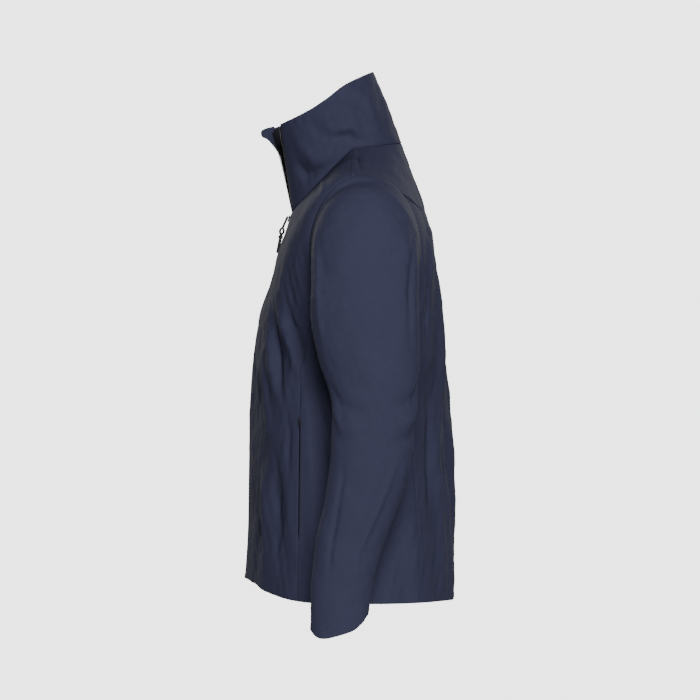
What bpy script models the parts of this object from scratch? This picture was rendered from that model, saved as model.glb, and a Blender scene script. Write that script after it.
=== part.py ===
"""Foul weather jacket: a zipped shell with a tall collar, set-in sleeves, in-seam zip pockets and a lining.

Metres, +Z up. The front faces -Y and the wearer's left is +X. The origin is the lower edge of the
hanger loop, which bears on the hook. The body, the collar and each sleeve are smooth surfaces given by
a few rings, and every sheet of cloth is a patch of one of them, some depth below its outside.
"""

import math

import bpy
from mathutils import Vector

# --- Driving dimensions (metres unless the name says otherwise) ---------------------------------

SHELL = 0.0012              # shell fabric, with its membrane
LINING = 0.0008
LINING_DEPTH = 0.0062       # outside of the shell to outside of the lining
SEAM_GAP = 0.0014
RIDGE_GAP = 0.0022          # at the seams that lie on a ridge: the shoulder's and the sleeves'
FACING_DEPTH = 0.0024
SHELL_CLEARANCE = 0.0028    # the shell's edge to the taped allowance that stands in the armhole
LINING_CLEARANCE = 0.0085

ARMHOLE_Y = -0.042
ARMHOLE_Z = -0.150
ARMHOLE_HALF_DEPTH = 0.076
ARMHOLE_HALF_HEIGHT = 0.102
ARMHOLE_PLANE = 0.2008      # the sleeve turns in the plane just outboard of this one
SLEEVE_START = 0.2020
SLEEVE_AXIS_Y = -0.0457     # straight above the hanging sleeve's centre of mass
FRONT_SEAM_JOINS_AT = -0.215
BACK_SEAM_JOINS_AT = -0.200

NECK_Z = -0.094             # the front of the neckline, where the zip stands closed
NECK_Y = -0.149
ZIP_SLOPE = 0.297           # forward run of the chest for each metre down, above the bust
BUST_Z = -0.222

PANEL_EDGE = 0.0070         # centre front to the edge of each front panel
TEETH_INNER = 0.0004
TEETH_OUTER = 0.0032
TAPE_INNER = 0.0035
TAPE_OUTER = 0.0160
FLAP_HALF_WIDTH = 0.0180

POCKET_TOP_Z = -0.388
POCKET_BOTTOM_Z = -0.566
POCKET_HALF_GAP = 0.0022

LOOP_WIDTH = 0.008
LOOP_THICKNESS = 0.0012

CHIN_GUARD_SPAN = (0.80, 0.985)     # shares of the collar's height
CHIN_GUARD_AHEAD = 0.0074
CHIN_GUARD_HALF_WIDTH = 0.0062
CHIN_GUARD_HALF_THICKNESS = 0.0021

SLIDER_TOP = 0.0045         # distances down the zip from the neckline
SLIDER_BOTTOM = 0.0150
SLIDER_HALF_WIDTH = 0.0040
PULL_HINGE_DOWN = 0.0092
PULL_HINGE_PROUD = 0.0038
TAB_LENGTH = 0.0165
TAB_TURN = 7.0              # degrees out from the chest
HANG_TURN = -4.5
CORD_HALF_LENGTH = 0.0036   # the cord loop is a flat ring
CORD_HALF_WIDTH = 0.0026
CORD_RADIUS = 0.0008
BEAD_LENGTH = 0.0070
GRIP_LENGTH = 0.0200

POCKET_SLIDER_LENGTH = 0.0075
POCKET_PULL_LENGTH = 0.0120

NAVY = (0.036, 0.042, 0.078)
LINING_NAVY = (0.020, 0.024, 0.045)
BLACK = (0.008, 0.008, 0.009)

# The body's rings, from the neckline down to the hem. Each row is: share of the way down, half width,
# y of the widest point, height at the front, side and back, squareness of the front and of the back,
# and how late the ring rises or falls towards its front and back.
BODY_RINGS = (
    (0.00, 0.070, -0.060, -0.094, -0.003, 0.006, 2.0, 2.0, 1.05),
    (0.06, 0.135, -0.063, -0.130, -0.026, -0.045, 2.2, 2.5, 1.4),
    (0.13, 0.197, -0.064, -0.165, -0.053, -0.105, 2.5, 3.2, 1.8),
    (0.22, 0.196, -0.062, -0.215, -0.140, -0.165, 2.5, 3.6, 1.8),
    (0.35, 0.187, -0.062, -0.277, -0.262, -0.262, 2.25, 3.0, 2.0),
    (0.46, 0.182, -0.062, -0.345, -0.345, -0.345, 2.25, 2.5, 3.0),
    (0.60, 0.185, -0.062, -0.432, -0.435, -0.435, 2.25, 2.35, 3.0),
    (0.80, 0.191, -0.062, -0.535, -0.545, -0.545, 2.25, 2.3, 3.0),
    (1.00, 0.197, -0.062, -0.625, -0.657, -0.654, 2.25, 2.3, 3.2),
)
# Height and forward position of the body at the centre front below the bust, and at the centre back.
FRONT_PROFILE = (
    (-0.240, -0.1923),
    (-0.277, -0.2000),
    (-0.330, -0.2062),
    (-0.381, -0.2090),
    (-0.470, -0.2108),
    (-0.555, -0.2122),
    (-0.625, -0.2165),
)
BACK_PROFILE = (
    (0.006, 0.0110),
    (-0.019, 0.0190),
    (-0.045, 0.0290),
    (-0.080, 0.0405),
    (-0.120, 0.0505),
    (-0.190, 0.0610),
    (-0.277, 0.0705),
    (-0.364, 0.0750),
    (-0.451, 0.0800),
    (-0.555, 0.0855),
    (-0.660, 0.0890),
)
# Where the front and back seams of the side panel run, as seen from the side: height, then y.
FRONT_SEAM = (
    (-0.215, -0.1006),
    (-0.260, -0.1230),
    (-0.320, -0.1350),
    (-0.388, -0.1362),
    (-0.566, -0.1380),
    (-0.660, -0.1385),
)
BACK_SEAM = (
    (-0.200, 0.0242),
    (-0.320, 0.0215),
    (-0.447, 0.0246),
    (-0.554, 0.0330),
    (-0.660, 0.0355),
)

# The collar's top edge by y, and its rings: share of the way up, half width, y at the front (centre
# line), at the widest point and at the back, and half the opening between the wings.
COLLAR_TOP = (
    (-0.190, 0.0255),
    (-0.170, 0.0310),
    (-0.126, 0.0510),
    (-0.097, 0.0696),
    (-0.0725, 0.0885),
    (-0.0305, 0.1100),
)
COLLAR_RINGS = (
    (0.0, 0.070, -0.1490, -0.0600, 0.0110, 0.0000),
    (0.5, 0.073, -0.1600, -0.0700, -0.0080, 0.0140),
    (1.0, 0.074, -0.1760, -0.0900, -0.0305, 0.0300),
)
RIGHT_WING_REACH = 0.012    # how much further forward the right wing's top stands

# Each sleeve's rings from the armhole down: share, x and z of the inner line, x and z of the outer
# line, middle y, half depth front to back, and how far the outside hangs below the front and back.
SLEEVE_RINGS = (
    (0.00, 0.2020, -0.252, 0.2020, -0.048, -0.0420, 0.0760, 0.0),
    (0.05, 0.2045, -0.258, 0.2270, -0.060, -0.0420, 0.0765, 0.0),
    (0.11, 0.2070, -0.266, 0.2475, -0.087, -0.0425, 0.0770, 0.0),
    (0.18, 0.2090, -0.278, 0.2640, -0.128, -0.0425, 0.0770, 0.0),
    (0.27, 0.2110, -0.300, 0.2755, -0.190, -0.0425, 0.0765, 0.0),
    (0.38, 0.2140, -0.335, 0.2810, -0.270, -0.0370, 0.0715, 0.0),
    (0.49, 0.2170, -0.385, 0.2850, -0.355, -0.0305, 0.0600, 0.0),
    (0.66, 0.2230, -0.480, 0.2870, -0.470, -0.0385, 0.0570, 0.0),
    (0.83, 0.2280, -0.590, 0.2870, -0.588, -0.0690, 0.0475, 0.0),
    (1.00, 0.2330, -0.679, 0.2860, -0.679, -0.0790, 0.0415, 0.0185),
)
CUFF_TILT = 0.28            # the cuff's back edge stands higher than its front, per metre of depth
CUFF_FACING_FROM = 0.945


# --- Curves and surfaces ------------------------------------------------------------------------

def spline(rows, at):
    """The row of values at this key on a smooth curve through the rows, each (key, value, ...)."""
    last = len(rows) - 1
    rising = rows[last][0] > rows[0][0]
    index = 0
    while index < last - 1 and (at > rows[index + 1][0]) == rising and at != rows[index + 1][0]:
        index += 1

    def slope(k, column):
        low, high = max(k - 1, 0), min(k + 1, last)
        return (rows[high][column] - rows[low][column]) / (rows[high][0] - rows[low][0])

    start, end = rows[index], rows[index + 1]
    span = end[0] - start[0]
    t = min(max((at - start[0]) / span, 0.0), 1.0)
    values = []
    for column in range(1, len(start)):
        rise = end[column] - start[column]
        first, second = slope(index, column) * span, slope(index + 1, column) * span
        curve = (first + second - 2 * rise) * t**3 + (3 * rise - 2 * first - second) * t**2 + first * t
        values.append(start[column] + curve)
    return values


def front_y(z):
    """The body's forward position at the centre front: straight beside the zip, then over the bust."""
    straight = NECK_Y + ZIP_SLOPE * (z - NECK_Z)
    if z >= BUST_Z:
        return straight
    return spline(((BUST_Z, NECK_Y + ZIP_SLOPE * (BUST_Z - NECK_Z)),) + FRONT_PROFILE, z)[0]


def body(angle, down):
    """A point of the shell: 0 degrees is centre front, 90 the left side, 180 centre back."""
    half, side_y, front_z, side_z, back_z, front_square, back_square, late = spline(BODY_RINGS, down)
    turn = math.radians(angle)
    if math.cos(turn) > 0:
        end_y, end_z, power = front_y(front_z), front_z, 2 / front_square
    else:
        end_y, end_z, power = spline(BACK_PROFILE, back_z)[0], back_z, 2 / back_square
    x = half * math.copysign(abs(math.sin(turn)) ** power, math.sin(turn))
    reach = abs(math.cos(turn)) ** power
    return Vector((x, side_y + (end_y - side_y) * reach, side_z + (end_z - side_z) * reach**late))


def collar(angle, up):
    """A point of the collar's outside: angles as on the body, and 0 at the neckline to 1 at the top."""
    half, ahead, side_y, back, _ = spline(COLLAR_RINGS, up)
    turn = math.radians(angle)
    if math.sin(turn) < 0 < math.cos(turn):
        ahead -= RIGHT_WING_REACH * up
    y = side_y + ((ahead if math.cos(turn) > 0 else back) - side_y) * abs(math.cos(turn))
    low, top = body(angle, 0.0).z, spline(COLLAR_TOP, min(max(y, COLLAR_TOP[0][0]), COLLAR_TOP[-1][0]))[0]
    return Vector((half * math.sin(turn), y, low + (top - low) * up))


def sleeve(round_, down):
    """A point of the left sleeve: 0 degrees is its front, 90 its outside, 180 its back, 270 the body side."""
    inner_x, inner_z, outer_x, outer_z, mid_y, half, droop = spline(SLEEVE_RINGS, down)
    turn = math.radians(round_)
    side = (1 + math.sin(turn)) / 2
    y = mid_y - half * math.cos(turn)
    droop *= 1 - math.cos(turn) ** 4 if math.sin(turn) > 0 else 0.0
    z = inner_z + (outer_z - inner_z) * side - droop
    z += CUFF_TILT * (y - mid_y) * max(down - 0.8, 0.0) / 0.2
    return Vector((inner_x + (outer_x - inner_x) * side, y, z))


def below(surface, a, b, depth):
    """The point this far inside the surface, along its own normal."""
    step_a, step_b = 0.5, 0.002
    low_b, high_b = max(b - step_b, 0.0), min(b + step_b, 1.0)
    across = surface(a + step_a, b) - surface(a - step_a, b)
    along = surface(a, high_b) - surface(a, low_b)
    normal = along.cross(across) if surface is not collar else across.cross(along)
    return surface(a, b) - normal.normalized() * depth


def bisect(test, inside, outside, steps=40):
    """The place between the two where the test stops being true."""
    for _ in range(steps):
        middle = (inside + outside) / 2
        if test(middle):
            inside = middle
        else:
            outside = middle
    return outside


def in_armhole(point, clearance=0.0):
    y = (point.y - ARMHOLE_Y) / (ARMHOLE_HALF_DEPTH + clearance)
    z = (point.z - ARMHOLE_Z) / (ARMHOLE_HALF_HEIGHT + clearance)
    return y * y + z * z < 1


def shoulder_tip(clearance):
    """How far down the body the shoulder seam meets the armhole."""
    return bisect(lambda v: not in_armhole(body(90, v), clearance), 0.05, 0.22)


def armhole_bottom(clearance):
    return bisect(lambda v: in_armhole(body(90, v), clearance), 0.22, 0.45)


def front_edge(down, clearance=SHELL_CLEARANCE):
    """The angle where the front panel ends: the shoulder seam, then the armhole, then its side seam."""
    def past(point):
        below_join = point.z < FRONT_SEAM_JOINS_AT and point.y > spline(FRONT_SEAM, point.z)[0]
        return below_join or in_armhole(point, clearance)
    return bisect(lambda a: past(body(a, down)), 90.0, 12.0) if past(body(90.0, down)) else 90.0


def back_edge(down, clearance=SHELL_CLEARANCE):
    """The angle where the back panel ends: the shoulder seam, then the armhole, then its side seam."""
    def past(point):
        below_join = point.z < BACK_SEAM_JOINS_AT and point.y < spline(BACK_SEAM, point.z)[0]
        return below_join or in_armhole(point, clearance)
    return bisect(lambda a: past(body(a, down)), 90.0, 168.0) if past(body(90.0, down)) else 90.0


def along_ring(angle, down, distance):
    """The angle this far along the ring, in metres."""
    step = (body(angle + 0.5, down) - body(angle - 0.5, down)).length
    return angle + distance / step


def angle_at_x(down, x):
    """The angle near the centre front whose point is this far to the left."""
    half, square = spline(BODY_RINGS, down)[0], spline(BODY_RINGS, down)[5]
    return math.degrees(math.asin((x / half) ** (square / 2)))


def collar_angle_at_x(up, x):
    """The angle of the left wing this far from its closing line, which opens towards the top."""
    half, opening = spline(COLLAR_RINGS, up)[0], spline(COLLAR_RINGS, up)[4]
    return math.degrees(math.asin((x + opening) / half))


def steps(start, end, count):
    return [start + (end - start) * k / count for k in range(count + 1)]


def body_rows(top, bottom, clearance):
    """Rows down the body, closer together where the armhole's edge runs level."""
    tip, pit = shoulder_tip(clearance), armhole_bottom(clearance)
    beside = [tip + (pit - tip) * (1 - math.cos(math.pi * k / 7)) / 2 for k in range(8)]
    return steps(top, tip, 3)[:-1] + beside + steps(pit, bottom, 7)[1:]


# --- Objects ------------------------------------------------------------------------------------

def material(name, colour, roughness, metallic=0.0):
    made = bpy.data.materials.get(name)
    if made:
        return made
    made = bpy.data.materials.new(name)
    made.use_nodes = True
    shader = made.node_tree.nodes["Principled BSDF"]
    shader.inputs["Base Color"].default_value = (*colour, 1.0)
    shader.inputs["Roughness"].default_value = roughness
    shader.inputs["Metallic"].default_value = metallic
    return made


def shell_fabric():
    return material("shell fabric", NAVY, 0.75)


def lining_fabric():
    return material("lining fabric", LINING_NAVY, 0.85)


def zip_tape():
    return material("zip tape", BLACK, 0.8)


def zip_plastic():
    return material("zip plastic", BLACK, 0.4)


def pull_metal():
    return material("coated metal", BLACK, 0.35, 0.9)


def pull_rubber():
    return material("pull rubber", BLACK, 0.6)


def pull_cord():
    return material("pull cord", BLACK, 0.9)


def add_object(name, points, faces, finish, origin=(0.0, 0.0, 0.0)):
    origin = Vector(origin)
    mesh = bpy.data.meshes.new(name)
    mesh.from_pydata([point - origin for point in points], [], faces)
    mesh.materials.append(finish)
    mesh.shade_smooth()
    mesh.set_sharp_from_angle(angle=math.radians(50))
    made = bpy.data.objects.new(name, mesh)
    made.location = origin
    bpy.context.scene.collection.objects.link(made)
    return made


def sheet(name, rows, thickness, finish, mirrored=False, wrap=False, origin=(0.0, 0.0, 0.0)):
    """A sheet of cloth whose outside passes through these rows of points, thickened inwards."""
    if mirrored:
        rows = [[Vector((-p.x, p.y, p.z)) for p in reversed(row)] for row in rows]
    width = len(rows[0])
    columns = width if wrap else width - 1
    faces = []
    for i in range(len(rows) - 1):
        for j in range(columns):
            k = (j + 1) % width
            faces.append((i * width + j, (i + 1) * width + j, (i + 1) * width + k, i * width + k))
    made = add_object(name, [point for row in rows for point in row], faces, finish, origin)
    solid = made.modifiers.new("thickness", "SOLIDIFY")
    solid.thickness = thickness
    solid.offset = -1
    solid.use_even_offset = True
    return made


def bar(name, start, end, across, thick, finish, origin=(0.0, 0.0, 0.0), bevel=0.0002, taper=1.0):
    """A bar from start to end: `across` is half its width as a vector, `thick` half its depth."""
    points = []
    for place, scale in ((start, 1.0), (end, taper)):
        points += [place + (across * s * scale) + thick * t for s, t in ((-1, -1), (1, -1), (1, 1), (-1, 1))]
    faces = [(3, 2, 1, 0), (4, 5, 6, 7), (0, 1, 5, 4), (1, 2, 6, 5), (2, 3, 7, 6), (3, 0, 4, 7)]
    if across.cross(thick).dot(end - start) < 0:
        faces = [face[::-1] for face in faces]
    made = add_object(name, points, faces, finish, origin)
    if bevel:
        rounding = made.modifiers.new("rounding", "BEVEL")
        rounding.width = bevel
        rounding.segments = 1
    return made


def both_sides():
    return (("left", False), ("right", True))


# --- Body ---------------------------------------------------------------------------------------

def seam_down(height):
    """How far down the body the front seam passes this height."""
    return bisect(lambda v: body(front_edge(v), v).z > height, 0.35, 0.97)


def seam_gap(point, depth):
    """Half the seam's gap here: it is widest over the pocket's zip, and widens with depth on the shoulder."""
    if POCKET_BOTTOM_Z - 0.004 < point.z < POCKET_TOP_Z + 0.004:
        return POCKET_HALF_GAP
    return (RIDGE_GAP if point.z > ARMHOLE_Z else SEAM_GAP) / 2 + (depth / 2 if point.z > ARMHOLE_Z else 0.0)


def seam_rows(top, bottom, clearance):
    """The body's rows, with two close rows at each end of the pocket so that its ends are square."""
    rows = body_rows(top, bottom, clearance)
    for height in (POCKET_TOP_Z + 0.004, POCKET_BOTTOM_Z - 0.004):
        end = seam_down(height)
        rows = [v for v in rows if abs(v - end) > 0.012] + [end - 0.002, end + 0.002]
    return sorted(rows)


def front_rows(depth, from_x, rows, clearance, columns=5):
    made = []
    for v in rows:
        edge = front_edge(v, clearance)
        last = along_ring(edge, v, -seam_gap(body(edge, v), depth))
        first = angle_at_x(v, from_x)
        beside_zip = angle_at_x(v, from_x + TAPE_OUTER - PANEL_EDGE + 0.002)
        made.append([below(body, a, v, depth) for a in [first] + steps(beside_zip, last, columns)])
    return made


def back_rows(depth, rows, clearance, columns=14):
    made = []
    for v in rows:
        edge = back_edge(v, clearance)
        edge = along_ring(edge, v, seam_gap(body(edge, v), depth) if edge == 90.0 else SEAM_GAP / 2)
        made.append([below(body, a, v, depth) for a in steps(edge, 360 - edge, columns)])
    return made


def side_rows(depth, bottom, clearance, rows, columns=6):
    """The side panel, whose top edge is the lower part of the armhole."""
    join = bisect(lambda v: body(front_edge(v, clearance), v).z > FRONT_SEAM_JOINS_AT, 0.15, 0.34)

    def at(share, v):
        first, last = front_edge(v, clearance), back_edge(v, clearance)
        first = along_ring(first, v, seam_gap(body(first, v), depth))
        last = along_ring(last, v, -SEAM_GAP / 2)
        return first + (last - first) * share

    columns_across = steps(0.0, 1.0, columns)
    tops = []
    for share in columns_across:
        tops.append(bisect(lambda v: in_armhole(body(at(share, v), v), clearance), join, 0.42) + 0.001)
    made = []
    for down in [0.0] + [(v - join) / (bottom - join) for v in rows if v > join + 0.006]:
        row = []
        for share, top in zip(columns_across, tops):
            v = top + (bottom - top) * down
            row.append(below(body, at(share, v), v, depth))
        made.append(row)
    return made


def make_panels():
    gap = SHELL_CLEARANCE
    rows = seam_rows(0.004, 1.0, gap)
    sheet("back_panel", back_rows(0.0, body_rows(0.004, 1.0, gap), gap), SHELL, shell_fabric())
    for side, mirrored in both_sides():
        sheet(f"{side}_front_panel", front_rows(0.0, PANEL_EDGE, rows, gap), SHELL, shell_fabric(), mirrored)
        sheet(f"{side}_side_panel", side_rows(0.0, 1.0, gap, rows), SHELL, shell_fabric(), mirrored)


def make_linings():
    gap, depth, finish = LINING_CLEARANCE, LINING_DEPTH, lining_fabric()
    rows = body_rows(0.025, 0.95, gap)
    sheet("back_lining", back_rows(depth, rows, gap), LINING, finish)
    for side, mirrored in both_sides():
        front = front_rows(depth, FLAP_HALF_WIDTH + 0.002, rows, gap)
        sheet(f"{side}_front_lining", front, LINING, finish, mirrored)
        sheet(f"{side}_side_lining", side_rows(depth, 0.95, gap, rows), LINING, finish, mirrored)


def make_hem_facing():
    rows = []
    for v in (0.957, 0.998):
        first = angle_at_x(v, TAPE_OUTER + 0.002)
        rows.append([below(body, a, v, FACING_DEPTH) for a in steps(first, 360 - first, 28)])
    sheet("hem_facing", rows, LINING, shell_fabric())


def armhole_ring():
    """The armhole's edge on the body, as pairs of (turn about the armhole's centre, x)."""
    found = []
    for v in steps(shoulder_tip(0.0) + 0.0005, armhole_bottom(0.0) - 0.0005, 60):
        for far in (12.0, 168.0):
            angle = bisect(lambda a: in_armhole(body(a, v)), 90.0, far)
            point = body(angle, v)
            y = (point.y - ARMHOLE_Y) / ARMHOLE_HALF_DEPTH
            z = (point.z - ARMHOLE_Z) / ARMHOLE_HALF_HEIGHT
            found.append((math.degrees(math.atan2(z, y)) % 360, point.x))
    return sorted(found)


def make_armhole_tapes(columns=24):
    """The taped seam allowance that carries each sleeve: it stands in the armhole like a short tube."""
    edge = armhole_ring()

    def edge_x(turn):
        after = next((k for k, pair in enumerate(edge) if pair[0] >= turn), 0)
        low, high = edge[after - 1], edge[after]
        gap = (high[0] - low[0]) % 360
        share = ((turn - low[0]) % 360) / gap if gap else 0.0
        return low[1] + (high[1] - low[1]) * share

    inset = 0.0003
    rows = []
    for outer in (False, True):
        row = []
        for k in range(columns):
            turn = 360 - 360 * k / columns
            y = (ARMHOLE_HALF_DEPTH - inset) * math.cos(math.radians(turn))
            z = (ARMHOLE_HALF_HEIGHT - inset) * math.sin(math.radians(turn))
            x = ARMHOLE_PLANE if outer else edge_x(turn % 360) - 0.0025
            row.append(Vector((x, ARMHOLE_Y + y, ARMHOLE_Z + z)))
        rows.append(row)
    for side, mirrored in both_sides():
        sheet(f"{side}_armhole_tape", rows, SHELL, shell_fabric(), mirrored, wrap=True)


# --- Collar -------------------------------------------------------------------------------------

def collar_rows(depth, heights, edge_inset, columns=20):
    made = []
    for up in heights:
        first = collar_angle_at_x(up, edge_inset)
        second = collar_angle_at_x(up, edge_inset + TAPE_OUTER - PANEL_EDGE + 0.002)
        angles = [first] + steps(second, 360 - second, columns) + [360 - first]
        made.append([below(collar, a, up, depth) for a in angles])
    return made


def make_collar():
    heights = steps(1.0, 0.006, 4)
    sheet("collar_shell", collar_rows(0.0, heights, PANEL_EDGE), SHELL, shell_fabric())
    heights = steps(0.985, 0.12, 4)
    sheet("collar_lining", collar_rows(0.0030, heights, TAPE_OUTER + 0.002), LINING, shell_fabric())


def right_wing_edge(up):
    """A point of the collar's front edge on the right wing."""
    return collar(360 - collar_angle_at_x(up, PANEL_EDGE), up)


def make_chin_guard():
    """The fleece-backed fold over the top of the right wing's edge, where the slider parks."""
    low, high = right_wing_edge(CHIN_GUARD_SPAN[0]), right_wing_edge(CHIN_GUARD_SPAN[1])
    forward = Vector((0.0, -1.0, 0.25)).normalized()
    side = (high - low).normalized().cross(forward).normalized()
    start = low + forward * CHIN_GUARD_AHEAD
    end = high + forward * CHIN_GUARD_AHEAD
    bar("chin_guard", start, end, forward * CHIN_GUARD_HALF_WIDTH, side * CHIN_GUARD_HALF_THICKNESS,
        shell_fabric(), bevel=0.001)


def make_hanger_loop():
    """A flat tape sewn to the back of the neck at both ends, straight in the middle over the hook."""
    half = LOOP_THICKNESS / 2
    run = ((0.012, 0.0), (0.020, 0.0002), (0.026, 0.0006))
    line = [(-x, y) for x, y in reversed(run)] + list(run)
    rows = []
    for z in (LOOP_WIDTH, 0.0):
        rows.append([Vector((x, y - half, z)) for x, y in line])
    sheet("hanger_loop", rows, LOOP_THICKNESS, material("tape", BLACK, 0.85))


# --- Front zip ----------------------------------------------------------------------------------

def zip_strip(name, side, low_x, high_x, depth, thickness, heights, finish):
    """A strip along the closing line: above 0 it stands on the collar's wing, below on the body."""
    mirrored = side == "right"
    rows = []
    for at in heights:
        row = []
        for x in (low_x, high_x):
            if at > 0:
                angle = collar_angle_at_x(at, x)
                point = below(collar, 360 - angle if mirrored else angle, at, depth)
            else:
                angle = angle_at_x(-at, x)
                point = below(body, 360 - angle if mirrored else angle, -at, depth)
            row.append(point)
        rows.append(row[::-1] if mirrored else row)
    sheet(name, rows, thickness, finish)


def make_front_zip():
    down = [-v for v in [0.01] + steps(0.06, 0.985, 13)]
    heights = [0.97, 0.7, 0.4, 0.15, 0.0] + down
    for side in ("left", "right"):
        zip_strip(f"front_zip_tape_{side}", side, TAPE_INNER, TAPE_OUTER, 0.0020, 0.0005, heights, zip_tape())
        heights_of_teeth = [0.95] + heights[1:-1] + [-0.955]
        zip_strip(f"front_zip_teeth_{side}", side, TEETH_INNER, TEETH_OUTER, 0.0006, 0.0024,
                  heights_of_teeth, zip_plastic())
    box = [-0.960, -0.983]
    zip_strip("front_zip_retainer_box", "left", 0.0003, TEETH_OUTER, 0.0002, 0.0034, box, zip_plastic())
    zip_strip("front_zip_insertion_pin", "right", 0.0003, 0.0024, 0.0006, 0.0022, box, zip_plastic())
    down = [-v for v in steps(0.012, 0.985, 14)]
    rows = []
    for at in down:
        first = angle_at_x(-at, FLAP_HALF_WIDTH)
        rows.append([below(body, a, -at, 0.0052) for a in (-first, 0.0, first)])
    sheet("storm_flap", rows, 0.0010, shell_fabric())


def along_zip(distance, proud):
    """A point on the straight stretch of the closed zip, this far down it and this far out from the cloth."""
    down = Vector((0.0, -ZIP_SLOPE, -1.0)).normalized()
    out = Vector((0.0, -1.0, ZIP_SLOPE)).normalized()
    return Vector((0.0, NECK_Y, NECK_Z)) + down * distance + out * proud


def make_front_slider():
    """Two plates joined by a thin post, which runs in the channel between the two rows of teeth."""
    out = Vector((0.0, -1.0, ZIP_SLOPE)).normalized()
    x = Vector((1.0, 0.0, 0.0))
    start, end = SLIDER_TOP, SLIDER_BOTTOM
    wide = x * SLIDER_HALF_WIDTH
    front = bar("front_slider", along_zip(start, 0.0007), along_zip(end, 0.0007), wide, out * 0.0010,
                pull_metal(), bevel=0)
    parts = (
        ("back plate", along_zip(start, -0.0041), along_zip(end, -0.0041), wide, out * 0.0006),
        ("post", along_zip(start + 0.001, -0.0020), along_zip(start + 0.0025, -0.0020),
         x * 0.00012, out * 0.0024),
        ("lug", along_zip(start + 0.0035, 0.0020), along_zip(start + 0.0065, 0.0020),
         x * 0.0009, out * 0.0010),
    )
    for label, low, high, across, thick in parts:
        piece = bar(f"slider {label}", low, high, across, thick, pull_metal(), bevel=0)
        piece.hide_render = True
        piece.display_type = "WIRE"
        join = front.modifiers.new(label, "BOOLEAN")
        join.operation = "UNION"
        join.object = piece


def turned(direction, degrees):
    """This direction in the YZ plane, turned outwards from the chest."""
    turn = math.radians(degrees)
    out = Vector((0.0, -1.0, ZIP_SLOPE)).normalized()
    return direction * math.cos(turn) + out * math.sin(turn)


def make_front_pull():
    """A slim tab on the slider; a cord loop on the tab carries a bead and a slender moulded grip."""
    down = Vector((0.0, -ZIP_SLOPE, -1.0)).normalized()
    x = Vector((1.0, 0.0, 0.0))
    top = along_zip(PULL_HINGE_DOWN, PULL_HINGE_PROUD)
    tab = turned(down, TAB_TURN)
    tab_out = tab.cross(x).normalized()
    hinge = top + tab * TAB_LENGTH
    bar("front_pull_tab", top, hinge, x * 0.0019, tab_out * 0.0005, pull_metal(), top)
    hang = turned(down, HANG_TURN)
    out = hang.cross(x).normalized()
    start = hinge + hang * 0.0005
    points = []
    for k in range(12):
        turn = math.radians(30 * k)
        fall = CORD_HALF_LENGTH + CORD_RADIUS - CORD_HALF_LENGTH * math.cos(turn)
        points.append(start + hang * fall + out * CORD_HALF_WIDTH * math.sin(turn))
    ring = bpy.data.curves.new("front_pull_loop", "CURVE")
    ring.dimensions = "3D"
    ring.bevel_depth = CORD_RADIUS
    ring.bevel_resolution = 1
    run = ring.splines.new("POLY")
    run.points.add(len(points) - 1)
    for place, point in zip(run.points, points):
        place.co = (*(point - hinge), 1.0)
    run.use_cyclic_u = True
    ring.materials.append(pull_cord())
    loop = bpy.data.objects.new("front_pull_loop", ring)
    loop.location = hinge
    bpy.context.scene.collection.objects.link(loop)
    head = start + hang * 0.0092
    foot = head + hang * BEAD_LENGTH
    bar("front_pull_bead", head, foot, x * 0.0026, out * 0.0024, pull_rubber(), hinge, 0.001)
    head = foot + hang * 0.0003
    foot = head + hang * GRIP_LENGTH
    bar("front_pull_grip", head, foot, x * 0.0016, out * 0.0015, pull_rubber(), hinge, 0.0006, 0.8)


# --- Pockets ------------------------------------------------------------------------------------

def pocket_strip(name, mirrored, ahead, behind, depth, thickness, top, bottom, finish, count=8):
    rows = []
    for v in steps(seam_down(top), seam_down(bottom), count):
        edge = front_edge(v)
        angles = (along_ring(edge, v, -ahead), along_ring(edge, v, behind))
        rows.append([below(body, a, v, depth) for a in angles])
    sheet(name, rows, thickness, finish, mirrored)


def pocket_line():
    """Top and bottom of the pocket zip on the left, its outward direction and the one across it."""
    ends = []
    for height in (POCKET_TOP_Z, POCKET_BOTTOM_Z):
        v = seam_down(height)
        ends.append((front_edge(v), v))
    top, bottom = (body(*end) for end in ends)
    middle = ((ends[0][0] + ends[1][0]) / 2, (ends[0][1] + ends[1][1]) / 2)
    out = below(body, *middle, -1.0) - body(*middle)
    along = (bottom - top).normalized()
    out = (out - along * out.dot(along)).normalized()
    return top, along, out, out.cross(along).normalized()


def mirror_x(point):
    return Vector((-point.x, point.y, point.z))


def make_pockets():
    top, along, out, across = pocket_line()
    start = 0.0015
    for side, mirrored in both_sides():
        face = mirror_x if mirrored else Vector
        pocket_strip(f"{side}_pocket_zip_coil", mirrored, 0.0015, 0.0015, 0.0018, 0.0007,
                     POCKET_TOP_Z, POCKET_BOTTOM_Z, zip_plastic())
        pocket_strip(f"{side}_pocket_zip_tape", mirrored, 0.0090, 0.0090, 0.0028, 0.0005,
                     POCKET_TOP_Z + 0.006, POCKET_BOTTOM_Z - 0.006, zip_tape())
        low, high = top + along * start, top + along * (start + POCKET_SLIDER_LENGTH)
        sunk = out * 0.0002
        bar(f"{side}_pocket_slider", face(low - sunk), face(high - sunk), face(across * 0.0016),
            face(out * 0.0008), pull_metal(), bevel=0.0003)
        hinge = low + along * 0.0020 + out * 0.0014
        foot = hinge + along * POCKET_PULL_LENGTH
        bar(f"{side}_pocket_pull", face(hinge), face(foot), face(across * 0.0013), face(out * 0.0004),
            pull_metal(), face(hinge), taper=0.85)
        rows = []
        for v in steps(seam_down(POCKET_TOP_Z + 0.012), seam_down(POCKET_BOTTOM_Z - 0.030), 7):
            edge = front_edge(v)
            first = along_ring(edge, v, -0.115)
            last = along_ring(edge, v, -0.0102)
            rows.append([below(body, a, v, 0.0024) for a in steps(first, last, 4)])
        sheet(f"{side}_pocket_bag", rows, 0.0014, lining_fabric(), mirrored)


# --- Sleeves ------------------------------------------------------------------------------------

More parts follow.
